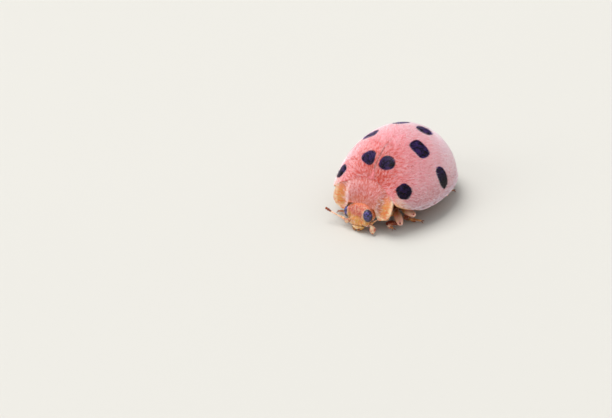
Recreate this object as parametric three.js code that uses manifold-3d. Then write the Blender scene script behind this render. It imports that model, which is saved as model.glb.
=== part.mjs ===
// A twelve-spotted, plant-eating ladybird (a pink, downy Henosepilachna), crouched as it feeds.
// Millimetres, +Z up. The head points to -Y and the insect's own left side is +X.
// The origin is on the floor, under the middle of the body.

import * as THREE from 'three';
import { mergeVertices } from 'three/addons/utils/BufferGeometryUtils.js';
import Module from 'manifold-3d';

const manifold = await Module();
manifold.setup();

// ---------- driving dimensions ----------

const HALF_TURN = Math.PI / 2;
const CUT = 0.05; // width of the thin cuts that part one piece from the next
const SLIVER = 0.002; // facets narrower than this are merged with their neighbours
const REACH = 20; // half the side of the boxes that trim pieces, larger than the insect

// elytra: a dome whose two halves meet along the midline
const APEX_Y = 3.5;
const HALF_WIDTH = 2.83;
const MARGIN_Z = 0.95;
const DOME_RISE = 2.88;
const CREST_Y = 0.3; // highest point of the midline
const WIDEST_Y = 0.18;
const BASE_Y = -2.18; // front end of the midline, at the scutellum
const CREST_TO_NOSE = 2.8; // from the crest to where the midline would reach the margin's height
const WIDEST_TO_NOSE = 3.27;
const SHOULDER_ANGLE = 0.655; // where the side margin turns into the front margin
const SHOULDER_ADVANCE = 0.694; // how far the front margin bows forward beside the pronotum
const SHOULDER_SKEW = 1.466; // above one, it bows most towards the side
const COLLAR = { advance: 0.17, u: 0.3, spread: 0.2 }; // it bows forward beside the scutellum too
const CORNER_START = 0.888; // share of the arch from where the front corner is rounded back
const CORNER_ROUNDING = 0.376;
const PLAN_POWER = 2.25; // roundness of the outline seen from above
const NOSE_POWER = 2.2; // roundness of the midline's front end
const ARCH_POWER = 1.98; // roundness of the arch seen from behind
const ELYTRON_WALL = 0.5;
const APEX_STOP = 0.99; // the halves end in a narrow rounded tip
const CALLUS = { u: 0.56, s: -0.8, spread: 0.14, height: 0.06 }; // the shoulder knob
const ELYTRON_GRID = [10, 18]; // facets across and along

// scutellum: the small triangle between the bases of the elytra
const SCUTELLUM_HALF_WIDTH = 0.24;
const SCUTELLUM_LENGTH = 0.36;
const SCUTELLUM_WALL = 0.45;
const SCUTELLUM_PATCH = 0.3; // share of the elytra's faces that it is cut from
const SCUTELLUM_GRID = [6, 4];

// pronotum: the shield behind the head, bent down over it
const SHIELD_HIND = { halfWidth: 1.7, y: -2.17, z: 2.38, advance: 0.66, droop: 0.16, fall: 0.34 };
const SHIELD_HIND_POWER = 1.2; // near one, the hind edge is pointed at the scutellum
const SHIELD_FRONT = { halfWidth: 1.4, y: -3.1, z: 1.28, advance: 0.22, fall: 0.53 };
const SHIELD_LOBE = [0.54, 0.72]; // shares of the half width, from the notch over the head to a lobe
const SHIELD_CORNER_START = 0.66;
const SHIELD_CORNER_ROUNDING = 0.4;
const SHIELD_SIDE_BULGE = 0.17;
const SHIELD_CROWN = 0.16;
const SHIELD_WALL = 0.36;
const SHIELD_RIM = 0.6; // how much less the crown bows forward at the sides
const SHIELD_GRID = [16, 6];

// trunk under the elytra, and the block under the pronotum
const VENTER_Z = 0.5;
const VENTER_EDGE_RISE = 0.36;
const TRUNK_RIM = 0.1; // least depth of the trunk, at its edge
const THORAX_FRONT_Y = -2.12;
const WAIST_Y = 0.15; // between thorax and abdomen
const CHEST = { from: -0.6, pinchedBy: -1.7, pinch: 0.27, raisedBy: -1.8, rise: 0.2 };
const TRUNK_GRID = [8, 10];
const PROSTERNUM = { centre: [0, -2.6, 1.15], radii: [1.5, 0.62, 0.68], hindY: -2.17 };

// head
const HEAD_TURN = 0.16; // the head is turned a little to the insect's right
const HEAD_ROLL = 0.2; // and tipped to that side
const NECK = [0, -2.6, 0.8];
const CRANIUM = { centre: [0, -2.98, 0.82], radii: [0.86, 0.52, 0.58] };
const FACE = { centre: [0, -3.26, 0.58], radii: [0.64, 0.34, 0.42] };
const EYE = { centre: [0.66, -3.25, 0.84], radii: [0.24, 0.26, 0.34] };
const BALL_GRID = [14, 10]; // facets round and along the large rounded pieces
const SMALL_BALL_GRID = [10, 8];
const MOUTH = { centre: [0, -3.4, 0.22], radii: [0.44, 0.26, 0.2] };

// limbs, as joints from the body outwards; each has the half thickness there
const FEMUR_RADIUS = 0.24;
const KNEE_RADIUS = 0.23;
const TARSUS_RADIUS = 0.22;
const FEELER_RADIUS = 0.22;
const CLUB_RADIUS = 0.24;
const PALP_RADIUS = 0.2;
const THIGH_SIDES = 8;
const LIMB_SIDES = 6;
const END_STEPS = 2; // rings in the round end of a rod
const LEGS = {
  front_left: [[1.05, -1.64, 0.66], [1.8, -2.34, 0.42], [1.0, -2.34, 0.24], [1.52, -2.6, 0.15]],
  mid_left: [[1.08, -1.32, 0.6], [2.1, -1.6, 0.62], [1.4, -1.5, 0.24], [2.36, -1.26, 0.15]],
  hind_left: [[0.85, 0.12, 0.58], [2.36, 1.06, 0.52], [1.55, 1.6, 0.24], [2.16, 2.04, 0.15]],
  front_right: [[-1.05, -1.7, 0.66], [-1.8, -2.36, 0.48], [-1.02, -2.38, 0.24], [-1.7, -2.62, 0.15]],
  mid_right: [[-1.08, -1.28, 0.58], [-2.26, -1.5, 0.6], [-1.42, -1.42, 0.24], [-2.4, -0.96, 0.15]],
  hind_right: [[-0.85, 0.12, 0.58], [-2.34, 1.16, 0.52], [-1.5, 1.66, 0.24], [-2.06, 2.16, 0.15]],
};
const ANTENNAE = {
  left: [[0.82, -3.28, 0.5], [0.98, -3.06, 0.62], [1.12, -2.7, 0.64]],
  right: [[-0.8, -3.42, 0.42], [-1.36, -3.52, 0.55], [-1.92, -3.5, 0.74]],
};
const PALPS = {
  left: [[0.48, -3.42, 0.42], [0.8, -3.4, 0.46], [0.93, -3.52, 0.2]],
  right: [[-0.42, -3.46, 0.3], [-0.52, -3.54, 0.5], [-0.62, -3.6, 0.34]],
};

// ---------- solids ----------

function asSolid(geometry) {
  const bare = geometry.clone();
  bare.deleteAttribute('normal');
  bare.deleteAttribute('uv');
  const welded = mergeVertices(bare, 1e-5);
  const mesh = new manifold.Mesh({
    numProp: 3,
    vertProperties: new Float32Array(welded.attributes.position.array),
    triVerts: new Uint32Array(welded.index.array),
  });
  return new manifold.Manifold(mesh);
}

// the main body of a cut piece, without the crumbs that a cut can leave
function largest(solid) {
  const bodies = solid.decompose();
  return bodies.reduce((best, next) => (next.volume() > best.volume() ? next : best));
}

function named(name, solid, material) {
  const { vertProperties, triVerts } = largest(solid.simplify(SLIVER)).getMesh();
  const geometry = new THREE.BufferGeometry();
  geometry.setAttribute('position', new THREE.Float32BufferAttribute(vertProperties, 3));
  geometry.setIndex([...triVerts]);
  geometry.computeVertexNormals();
  const mesh = new THREE.Mesh(geometry, material);
  mesh.name = name;
  return mesh;
}

// everything with y between two planes
function slab(fromY, toY) {
  const box = new THREE.BoxGeometry(2 * REACH, toY - fromY, 2 * REACH);
  return asSolid(box.translate(0, (fromY + toY) / 2, 0));
}

// everything above a level
function above(level) {
  const box = new THREE.BoxGeometry(2 * REACH, 2 * REACH, REACH);
  return asSolid(box.translate(0, 0, level + REACH / 2));
}

function ellipsoid({ centre, radii }, grow = 0, grid = BALL_GRID) {
  const ball = new THREE.SphereGeometry(1, ...grid).rotateX(HALF_TURN);
  ball.scale(radii[0] + grow, radii[1] + grow, radii[2] + grow);
  return asSolid(ball.translate(...centre));
}

// a rod with round ends, of one radius at its start and another at its end
function rod(from, to, fromRadius, toRadius, sides = THIGH_SIDES) {
  const start = new THREE.Vector3(...from);
  const run = new THREE.Vector3(...to).sub(start);
  const length = run.length();
  const profile = [];
  for (let i = 0; i <= END_STEPS; i += 1) {
    const angle = HALF_TURN * (i / END_STEPS);
    profile.push(new THREE.Vector2(fromRadius * Math.sin(angle), -fromRadius * Math.cos(angle)));
  }
  for (let i = 0; i <= END_STEPS; i += 1) {
    const angle = HALF_TURN * (i / END_STEPS);
    profile.push(new THREE.Vector2(toRadius * Math.cos(angle), length + toRadius * Math.sin(angle)));
  }
  profile[0].x = 0;
  profile[profile.length - 1].x = 0;
  const turn = new THREE.Quaternion();
  turn.setFromUnitVectors(new THREE.Vector3(0, 1, 0), run.normalize());
  const shape = new THREE.LatheGeometry(profile, sides).applyQuaternion(turn);
  return asSolid(shape.translate(...from));
}

// the point at a distance out from surface(a, b), along its normal there
function offset(surface, a, b, distance) {
  const step = 1e-3;
  const alongA = surface(Math.min(a + step, 1), b).sub(surface(Math.max(a - step, 0), b));
  const alongB = surface(a, Math.min(b + step, 1)).sub(surface(a, Math.max(b - step, 0)));
  return surface(a, b).addScaledVector(alongA.cross(alongB).normalize(), distance);
}

// a sheet of segments bent onto surface(a, b), with a wall of the given thickness under it
function shell(surface, wall, grid, lift = 0) {
  const sheet = new THREE.BoxGeometry(1, 1, 1, ...grid, 1);
  const spots = sheet.attributes.position;
  for (let i = 0; i < spots.count; i += 1) {
    const depth = spots.getZ(i) > 0 ? lift : -wall;
    const point = offset(surface, spots.getX(i) + 0.5, spots.getY(i) + 0.5, depth);
    spots.setXYZ(i, point.x, point.y, point.z);
  }
  return asSolid(sheet);
}

// ---------- surfaces ----------

function smooth(low, high, value) {
  return THREE.MathUtils.smoothstep(value, low, high);
}

// how far a corner is rounded back at a share of the width, with the given start and depth
function rounding(share, start, depth) {
  const turn = Math.max(0, (share - start) / (1 - start));
  return depth * (1 - Math.sqrt(1 - Math.min(turn, 1) ** 2));
}

// One elytron's outer face. u runs from the midline (0) to the side margin (1), and s from
// the front margin (-1) over the crest (0) to the tip (1). side is 1 on the left, -1 on the right.
function elytronPoint(u, s, side) {
  const rear = s > 0;
  const turn = Math.abs(s);
  const noseShare = (CREST_Y - BASE_Y) / CREST_TO_NOSE;
  const crestAngle = turn * (rear ? HALF_TURN : Math.asin(noseShare ** (NOSE_POWER / 2)));
  const sideAngle = rear ? turn * HALF_TURN : turn * SHOULDER_ANGLE;
  const swell = (angle, power) => Math.sin(angle) ** (2 / power);
  const midY = rear
    ? CREST_Y + (APEX_Y - CREST_Y) * swell(crestAngle, PLAN_POWER)
    : CREST_Y - CREST_TO_NOSE * swell(crestAngle, NOSE_POWER);
  const sideY = rear
    ? WIDEST_Y + (APEX_Y - WIDEST_Y) * swell(sideAngle, PLAN_POWER)
    : WIDEST_Y - WIDEST_TO_NOSE * swell(sideAngle, PLAN_POWER);
  const midZ = MARGIN_Z + DOME_RISE * Math.cos(crestAngle);
  const arch = u * HALF_TURN;
  const share = Math.cos(arch) ** (2 / ARCH_POWER);
  const skewed = Math.sin(Math.PI * u ** SHOULDER_SKEW) ** 2;
  const collar = COLLAR.advance * Math.exp(-(((u - COLLAR.u) / COLLAR.spread) ** 2));
  const bow = rear ? 0 : (SHOULDER_ADVANCE * skewed + collar) * turn ** 3;
  const bump = ((u - CALLUS.u) ** 2 + (s - CALLUS.s) ** 2) / CALLUS.spread ** 2;
  const knob = CALLUS.height * Math.exp(-bump);
  const x = HALF_WIDTH * Math.cos(sideAngle) * Math.sin(arch) ** (2 / ARCH_POWER);
  const y = midY + (sideY - midY) * (1 - Math.cos(arch)) - bow;
  const z = MARGIN_Z + (midZ - MARGIN_Z) * share + knob;
  return new THREE.Vector3(side * (x + knob / 2), y, z);
}

// The pronotum's outer face. a runs from the right side (0) to the left (1), b from its front
// edge (0) to its hind edge (1).
function shieldPoint(a, b) {
  const u = 2 * a - 1;
  const start = rounding(Math.abs(u), SHIELD_CORNER_START, SHIELD_CORNER_ROUNDING);
  const along = start + (1 - start) * b;
  const away = Math.abs(u) ** SHIELD_HIND_POWER;
  const hind = new THREE.Vector3(
    SHIELD_HIND.halfWidth * u,
    SHIELD_HIND.y - SHIELD_HIND.advance * away,
    SHIELD_HIND.z - SHIELD_HIND.droop * away - SHIELD_HIND.fall * u ** 4,
  );
  const front = new THREE.Vector3(
    SHIELD_FRONT.halfWidth * u,
    SHIELD_FRONT.y - SHIELD_FRONT.advance * u * u,
    SHIELD_FRONT.z - SHIELD_FRONT.fall * smooth(...SHIELD_LOBE, Math.abs(u)),
  );
  const belly = Math.sin(Math.PI * along);
  const point = front.lerp(hind, along);
  point.x += SHIELD_SIDE_BULGE * belly * u ** 3;
  point.y -= SHIELD_CROWN * belly * (1 - SHIELD_RIM * u * u);
  point.z += SHIELD_CROWN * belly * (1 - u * u);
  return point;
}

// ---------- pieces ----------

function scutellumPrism(grow) {
  const outline = new THREE.Shape();
  outline.moveTo(-SCUTELLUM_HALF_WIDTH - grow, BASE_Y - 1);
  outline.lineTo(SCUTELLUM_HALF_WIDTH + grow, BASE_Y - 1);
  outline.lineTo(SCUTELLUM_HALF_WIDTH + grow, BASE_Y);
  outline.lineTo(0, BASE_Y + SCUTELLUM_LENGTH + grow);
  outline.lineTo(-SCUTELLUM_HALF_WIDTH - grow, BASE_Y);
  outline.closePath();
  return asSolid(new THREE.ExtrudeGeometry(outline, { depth: REACH, bevelEnabled: false }));
}

// one elytron's outer face over a and b from 0 to 1, across and along
function caseSurface(side, gap) {
  return (a, b) => {
    const u = side > 0 ? a : 1 - a;
    const front = rounding(u, CORNER_START, CORNER_ROUNDING) - 1;
    const point = elytronPoint(u, front + b * (APEX_STOP - front), side);
    point.x += side * gap * Math.cos(u * HALF_TURN) ** 2;
    return point;
  };
}

function scutellum() {
  const surface = (a, b) => {
    const u = Math.abs(2 * a - 1) * SCUTELLUM_PATCH;
    return elytronPoint(u, -1 + SCUTELLUM_PATCH * b, a < 0.5 ? -1 : 1);
  };
  return shell(surface, SCUTELLUM_WALL, SCUTELLUM_GRID).intersect(scutellumPrism(0));
}

// thorax and abdomen in one: the space under the elytra, closed below by the venter
function trunk() {
  const block = new THREE.BoxGeometry(1, 1, 1, ...TRUNK_GRID, 1);
  const spots = block.attributes.position;
  for (let i = 0; i < spots.count; i += 1) {
    const side = Math.sign(spots.getX(i)) || 1;
    const u = 2 * Math.abs(spots.getX(i));
    const roof = caseSurface(side, 0);
    const b = spots.getY(i) + 0.5;
    const point = offset(roof, side > 0 ? u : 1 - u, b, -ELYTRON_WALL - CUT);
    const out = Math.max(u, Math.abs(point.y - WIDEST_Y) / APEX_Y);
    const raised = CHEST.rise * smooth(-CHEST.from, -CHEST.raisedBy, -point.y);
    const pinched = 1 - CHEST.pinch * smooth(-CHEST.from, -CHEST.pinchedBy, -point.y);
    const venterZ = VENTER_Z + VENTER_EDGE_RISE * out ** 3 + raised;
    const roofZ = Math.max(point.z, venterZ + TRUNK_RIM);
    spots.setXYZ(i, point.x * pinched, point.y, spots.getZ(i) > 0 ? roofZ : venterZ);
  }
  return asSolid(block);
}

function leg([hip, knee, ankle, toe], grow = 0) {
  const femur = rod(hip, knee, FEMUR_RADIUS + grow, KNEE_RADIUS + grow);
  const tibia = rod(knee, ankle, KNEE_RADIUS + grow, TARSUS_RADIUS + grow, LIMB_SIDES);
  const tarsus = rod(ankle, toe, TARSUS_RADIUS + grow, TARSUS_RADIUS + grow, LIMB_SIDES);
  return femur.add(tibia).add(tarsus).intersect(above(0));
}

function feeler([base, elbow, tip], grow = 0) {
  const stalk = rod(base, elbow, FEELER_RADIUS + grow, FEELER_RADIUS + grow, LIMB_SIDES);
  return stalk.add(rod(elbow, tip, FEELER_RADIUS + grow, CLUB_RADIUS + grow, LIMB_SIDES));
}

function palp([base, elbow, tip]) {
  const stalk = rod(base, elbow, PALP_RADIUS, PALP_RADIUS, LIMB_SIDES);
  return stalk.add(rod(elbow, tip, PALP_RADIUS, PALP_RADIUS, LIMB_SIDES)).intersect(above(0));
}

// pieces of the head are laid out facing straight ahead and then turned about the neck
function turned({ centre, radii }, mirror = 1) {
  const neck = new THREE.Vector3(...NECK);
  const place = new THREE.Vector3(centre[0] * mirror, centre[1], centre[2]).sub(neck);
  place.applyAxisAngle(new THREE.Vector3(0, 1, 0), -HEAD_ROLL);
  place.applyAxisAngle(new THREE.Vector3(0, 0, 1), -HEAD_TURN);
  return { centre: place.add(neck).toArray(), radii };
}

// ---------- materials ----------

function material(colour, roughness) {
  return new THREE.MeshStandardMaterial({ color: colour, roughness, metalness: 0 });
}

const elytronPink = material('#dd8f88', 0.5);
const shieldPink = material('#dc8676', 0.5);
const faceOrange = material('#d98a55', 0.45);
const eyeIndigo = material('#2b2c4e', 0.2);
const legAmber = material('#cf8247', 0.4);
const bellyBrown = material('#b3643c', 0.5);

// ---------- assembly ----------

const ladybird = new THREE.Group();

const legSolids = {};
const legCutters = [];
for (const [place, joints] of Object.entries(LEGS)) {
  legSolids[place] = leg(joints);
  legCutters.push(leg(joints, CUT));
}
const withoutLegs = (solid) => legCutters.reduce((rest, cutter) => rest.subtract(cutter), solid);

const notch = scutellumPrism(CUT);
let shield = shell(shieldPoint, SHIELD_WALL, SHIELD_GRID);
for (const [name, side] of [['elytron_left', 1], ['elytron_right', -1]]) {
  const half = shell(caseSurface(side, CUT / 2), ELYTRON_WALL, ELYTRON_GRID);
  ladybird.add(named(name, half.subtract(notch).intersect(above(MARGIN_Z)), elytronPink));
  const cutter = shell(caseSurface(side, 0), ELYTRON_WALL, ELYTRON_GRID, CUT);
  shield = shield.subtract(cutter.intersect(above(MARGIN_Z - CUT)));
}
ladybird.add(named('scutellum', scutellum(), elytronPink));

const shieldCutter = shell(shieldPoint, SHIELD_WALL + CUT, SHIELD_GRID, 1);
const body = withoutLegs(trunk());
ladybird.add(named('thorax', body.intersect(slab(THORAX_FRONT_Y, WAIST_Y - CUT / 2)), bellyBrown));
ladybird.add(named('abdomen', body.intersect(slab(WAIST_Y + CUT / 2, REACH)), bellyBrown));

const skull = ellipsoid(turned(CRANIUM)).add(ellipsoid(turned(FACE)));
const skullCutter = ellipsoid(turned(CRANIUM), CUT).add(ellipsoid(turned(FACE), CUT));
const eyes = { left: turned(EYE), right: turned(EYE, -1) };
const mouth = ellipsoid(turned(MOUTH), 0, SMALL_BALL_GRID);
const mouthCutter = ellipsoid(turned(MOUTH), CUT, SMALL_BALL_GRID);

for (const eye of Object.values(eyes)) {
  shield = shield.subtract(ellipsoid(eye, CUT, SMALL_BALL_GRID));
}
ladybird.add(named('pronotum', shield.subtract(skullCutter), shieldPink));
const room = shieldCutter.add(skullCutter).add(feeler(ANTENNAE.left, CUT));
const collar = ellipsoid(PROSTERNUM).subtract(room);
const prosternum = withoutLegs(collar.intersect(slab(-REACH, PROSTERNUM.hindY)));
ladybird.add(named('prosternum', prosternum, bellyBrown));

let head = skull.subtract(mouthCutter);
for (const eye of Object.values(eyes)) {
  head = head.subtract(ellipsoid(eye, CUT, SMALL_BALL_GRID));
}
for (const side of ['left', 'right']) {
  ladybird.add(named(`eye_${side}`, ellipsoid(eyes[side], 0, SMALL_BALL_GRID), eyeIndigo));
  const clearOfEye = feeler(ANTENNAE[side]).subtract(ellipsoid(eyes[side], CUT, SMALL_BALL_GRID));
  const antenna = clearOfEye.subtract(skullCutter).subtract(shieldCutter);
  ladybird.add(named(`antenna_${side}`, antenna, legAmber));
  const clearOfHead = palp(PALPS[side]).subtract(skullCutter).subtract(mouthCutter);
  ladybird.add(named(`palp_${side}`, clearOfHead.subtract(feeler(ANTENNAE[side], CUT)), legAmber));
}
ladybird.add(named('head', head, faceOrange));
ladybird.add(named('mouthparts', mouth.intersect(above(0)), faceOrange));

for (const [place, solid] of Object.entries(legSolids)) {
  ladybird.add(named(`leg_${place}`, solid, legAmber));
}

export default ladybird;
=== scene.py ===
import math
from collections import namedtuple

import bmesh
import bpy
import numpy as np
from bpy.props import FloatProperty, FloatVectorProperty, IntProperty, PointerProperty
from mathutils import Matrix, Vector


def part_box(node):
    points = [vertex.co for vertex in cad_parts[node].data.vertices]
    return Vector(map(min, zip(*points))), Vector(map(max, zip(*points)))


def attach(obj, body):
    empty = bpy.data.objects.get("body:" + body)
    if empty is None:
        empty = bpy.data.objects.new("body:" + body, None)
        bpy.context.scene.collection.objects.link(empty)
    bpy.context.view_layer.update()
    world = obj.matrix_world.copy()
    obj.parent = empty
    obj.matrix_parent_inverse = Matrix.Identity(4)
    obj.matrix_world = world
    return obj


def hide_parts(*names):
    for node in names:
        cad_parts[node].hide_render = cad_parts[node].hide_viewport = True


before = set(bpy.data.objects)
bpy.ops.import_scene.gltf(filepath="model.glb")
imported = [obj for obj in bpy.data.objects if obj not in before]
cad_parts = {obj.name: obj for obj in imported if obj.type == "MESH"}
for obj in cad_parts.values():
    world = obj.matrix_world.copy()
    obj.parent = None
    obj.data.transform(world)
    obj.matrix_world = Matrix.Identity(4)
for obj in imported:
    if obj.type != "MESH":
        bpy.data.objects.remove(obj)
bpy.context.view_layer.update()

bl_info = {
    "name": "Downy Ladybird",
    "version": (1, 0, 0),
    "blender": (4, 5, 0),
    "location": "View3D > Sidebar > Ladybird",
    "description": "A life-size downy, twelve-spotted ladybird, crouched as it feeds",
    "category": "Add Mesh",
}

# Shapes are modelled with one unit to the millimetre, and made metres when a piece is finished.
# The head points to -Y, the insect's own left side is +X and the floor is at zero.
MM = 0.001
HALF_TURN = math.pi / 2
SHARP_EDGE = math.radians(50)  # edges sharper than this are rounded
SIDES = {"left": 1, "right": -1}

# ---------- sizes that the solid frame settles ----------

CASE_LOW, CASE_HIGH = (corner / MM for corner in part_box("elytron_left"))
HALF_WIDTH = CASE_HIGH.x
APEX_Y = CASE_HIGH.y
MARGIN_Z = CASE_LOW.z
DOME_RISE = CASE_HIGH.z - MARGIN_Z

# ---------- elytra ----------

CREST_Y = 0.3
WIDEST_Y = 0.18
BASE_Y = -2.18
CREST_TO_NOSE = 2.8
WIDEST_TO_NOSE = 3.27
SHOULDER_ANGLE = 0.655
SHOULDER_ADVANCE = 0.694
SHOULDER_SKEW = 1.466  # above one, the front margin bows most towards the side
PLAN_POWER = 2.25
NOSE_POWER = 2.2
ARCH_POWER = 1.98
CREST_ANGLE = math.asin(((CREST_Y - BASE_Y) / CREST_TO_NOSE) ** (NOSE_POWER / 2))
CASE_CORNER = 0.888  # from here out the front margin is rounded back
CASE_ROUNDING = 0.376
COLLAR = {"advance": 0.17, "u": 0.3, "spread": 0.2}  # the base bows forward beside the scutellum too
CALLUS = {"u": 0.56, "s": -0.8, "spread": 0.14, "height": 0.06}
SUTURE_GAP = 0.005
CASE_TIP = 0.99  # the cases end in a narrow rounded tip
POLE_STOP = 0.98  # normals are taken no nearer the pole of the dome than this
LEDGE_SHARE = 0.1  # share of a case's columns that make the ledge turned in under its margin
LEDGE_WIDTH = 0.46
LEDGE_RISE = 0.07
BEAD = {"height": 0.045, "width": 0.06}  # the raised edge along the margin
GUTTER = {"depth": 0.018, "width": 0.12, "inland": 0.24}  # the shallow channel above it
ARC_TO_MARGIN = 4.4  # length of the arch from the midline to the margin

# The spots of each elytron: place on the case, half sizes across and along it, turn in degrees,
# how square the outline is, and the count, height and turn in degrees of the waves in it.
Spot = namedtuple("Spot", "u s across along turn square lobes sway phase")
SPOTS = {
    "left": [
        Spot(0.138, -0.628, 0.42, 0.38, 20, 0.2, 3, 0.045, 60),
        Spot(0.572, -0.790, 0.40, 0.41, 0, 0.1, 5, 0.04, 30),
        Spot(0.346, -0.035, 0.54, 0.43, -5, 0.8, 2, 0.02, 0),
        Spot(0.770, 0.02, 0.60, 0.36, 6, 0.3, 3, 0.03, 90),
        Spot(0.182, 0.262, 0.43, 0.42, 0, 0.5, 4, 0.03, 0),
        Spot(0.58, 0.66, 0.38, 0.34, 0, 0.3, 3, 0.05, 0),
    ],
    "right": [
        Spot(0.140, -0.628, 0.41, 0.38, 20, 0.1, 3, 0.1, 60),
        Spot(0.566, -0.790, 0.38, 0.40, 0, 0.1, 4, 0.05, 0),
        Spot(0.366, -0.05, 0.46, 0.37, -5, 0.7, 3, 0.04, 40),
        Spot(0.770, 0.02, 0.58, 0.37, 4, 0.3, 3, 0.04, 20),
        Spot(0.182, 0.262, 0.42, 0.42, 0, 0.5, 4, 0.03, 60),
        Spot(0.58, 0.66, 0.38, 0.35, 0, 0.3, 3, 0.05, 50),
    ],
}

SCUTELLUM = {"share": 0.19, "half": 0.19, "lift": 0.008}

# ---------- pronotum ----------

SHIELD_HIND = {"half": 1.7, "y": -2.17, "z": 2.38, "advance": 0.66, "droop": 0.16, "fall": 0.34, "power": 1.2}
SHIELD_FRONT = {"half": 1.4, "y": -3.1, "z": 1.28, "advance": 0.22, "fall": 0.53}
SHIELD_LOBE = (0.54, 0.72)  # from the notch over the head to the lobe beside it
SHIELD_CORNER = 0.66
SHIELD_ROUNDING = 0.4
SHIELD_BULGE = 0.17
SHIELD_CROWN = 0.16

# ---------- head ----------

HEAD_TURN = 0.16
HEAD_ROLL = 0.2
NECK = Vector((0, -2.6, 0.8))
EYE = {"centre": (0.66, -3.25, 0.84), "radii": (0.24, 0.26, 0.34)}

# ---------- limbs, as joints from the body outwards ----------

LEGS = {
    "front_left": [(1.05, -1.64, 0.66), (1.8, -2.34, 0.42), (1.0, -2.34, 0.24), (1.52, -2.6, 0.15)],
    "mid_left": [(1.08, -1.32, 0.6), (2.1, -1.6, 0.62), (1.4, -1.5, 0.24), (2.36, -1.26, 0.15)],
    "hind_left": [(0.85, 0.12, 0.58), (2.36, 1.06, 0.52), (1.55, 1.6, 0.24), (2.16, 2.04, 0.15)],
    "front_right": [(-1.05, -1.7, 0.66), (-1.8, -2.36, 0.48), (-1.02, -2.38, 0.24), (-1.7, -2.62, 0.15)],
    "mid_right": [(-1.08, -1.28, 0.58), (-2.26, -1.5, 0.6), (-1.42, -1.42, 0.24), (-2.4, -0.96, 0.15)],
    "hind_right": [(-0.85, 0.12, 0.58), (-2.34, 1.16, 0.52), (-1.5, 1.66, 0.24), (-2.06, 2.16, 0.15)],
}
ANTENNAE = {
    "left": [(0.68, -3.3, 0.5), (0.82, -3.0, 0.66), (0.96, -2.56, 0.66)],
    "right": [(-0.8, -3.42, 0.42), (-1.36, -3.52, 0.55), (-1.92, -3.5, 0.74)],
}


def tint(hex_colour):
    """The linear colour of a six-digit display colour."""
    parts = [int(hex_colour[i:i + 2], 16) / 255 for i in (0, 2, 4)]
    return tuple(p / 12.92 if p <= 0.04045 else ((p + 0.055) / 1.055) ** 2.4 for p in parts)


class LadybirdSizes(bpy.types.PropertyGroup):
    wall: FloatProperty(name="Elytron wall", description="Thickness of the wing cases",
                        default=0.13 * MM, unit="LENGTH")
    skin_depth: FloatProperty(name="Skin depth", description="How far the shell lies inside the down's tips",
                              default=0.04 * MM, unit="LENGTH")
    down_length: FloatProperty(name="Down length", description="Length of the hairs on the wing cases",
                               default=0.145 * MM, unit="LENGTH")
    down_spacing: FloatProperty(name="Down spacing", description="Distance from hair to hair",
                                default=0.054 * MM, unit="LENGTH")
    hair_radius: FloatProperty(name="Hair radius", description="Half thickness of a hair at its root",
                               default=0.006 * MM, unit="LENGTH")
    pit_spacing: FloatProperty(name="Pit spacing", description="Distance between the punctures of the shell",
                               default=0.09 * MM, unit="LENGTH")
    seed: IntProperty(name="Seed", description="Start of the random draws", default=12)


def colour(name, description, hex_colour):
    return FloatVectorProperty(name=name, description=description, subtype="COLOR",
                               size=3, min=0, max=1, default=tint(hex_colour))


class LadybirdColours(bpy.types.PropertyGroup):
    pink: colour("Case pink", "Wing cases over the disc", "f58f9d")
    coral: colour("Case coral", "Wing cases beside the scutellum", "d9563e")
    # The rose is painted shade on the lower sides of the wing cases and their down.
    rose_shade: colour("Case rose", "Painted shade on the lower sides of the wing cases", "c9787e")
    peach: colour("Rim peach", "Front margin of the wing cases", "ecb083")
    # The lilac colours the side margin, and also paints a haze of light over the crest of the wing cases.
    lilac_and_haze: colour("Rim lilac", "Side margin of the wing cases, and painted haze over their crest", "f6d9e3")
    scutellum: colour("Scutellum red", "The small plate between the wing cases", "c4584e")
    # The black also paints the shade at the eyes' edges and their dark pseudopupils.
    black: colour("Spot black", "The twelve spots", "0d0716")
    # The violet is a painted reflection of the sky on the hairs of the upper spots.
    violet_reflection: colour("Spot down", "Painted violet reflection of the sky on the hairs of the spots", "6445a0")
    down: colour("Down", "Hairs of the wing cases", "fff0f5")
    shield: colour("Pronotum pink", "Middle of the pronotum", "d46c62")
    amber: colour("Amber", "Thin lobes and lower face", "d89b56")
    face: colour("Face pink", "Forehead", "bd5845")
    ember: colour("Ember", "Head behind the eyes", "e0702a")
    muzzle: colour("Muzzle", "Lower face", "d3963f")
    pale: colour("Pale rim", "Thin edges that light shines through", "ecc9a2")
    eye: colour("Eye indigo", "Facets of the eyes", "6656a2")
    # The eye shadow colours dark clouds in the eyes, and paints shade on their lower part.
    eye_dark_and_shade: colour("Eye shadow", "Dark clouds in the eyes, and painted shade on their lower part", "1c1936")
    leg: colour("Leg peach", "Thighs and knees", "ffc8aa")
    # The dark also paints the shade in the punctures of the shells.
    dark: colour("Leg dark", "Shins and shaded joints", "6e2212")
    belly: colour("Belly brown", "Underside", "a85a32")
    hollow_shade: colour("Hollow", "Body where the shields shut out the light", "6b2a10")
    floor: colour("Floor", "Studio floor", "d2d0ca")


# ---------- modelling helpers ----------

def deselect():
    bpy.ops.object.select_all(action="DESELECT")


def activate(*pieces):
    deselect()
    for piece in pieces:
        piece.select_set(True)
    bpy.context.view_layer.objects.active = pieces[0]


def named(name):
    piece = bpy.context.object
    piece.name = name
    piece.data.name = name
    return piece


def points_of(piece):
    spots = np.empty(len(piece.data.vertices) * 3)
    piece.data.vertices.foreach_get("co", spots)
    return spots.reshape(-1, 3)


def put_points(piece, spots):
    piece.data.vertices.foreach_set("co", np.ascontiguousarray(spots, float).ravel())
    piece.data.update()


def modify(piece, kind, **settings):
    """Adds a modifier and applies it."""
    activate(piece)
    modifier = piece.modifiers.new(kind, kind)
    for setting, value in settings.items():
        setattr(modifier, setting, value)
    bpy.ops.object.modifier_apply(modifier=modifier.name)


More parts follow.
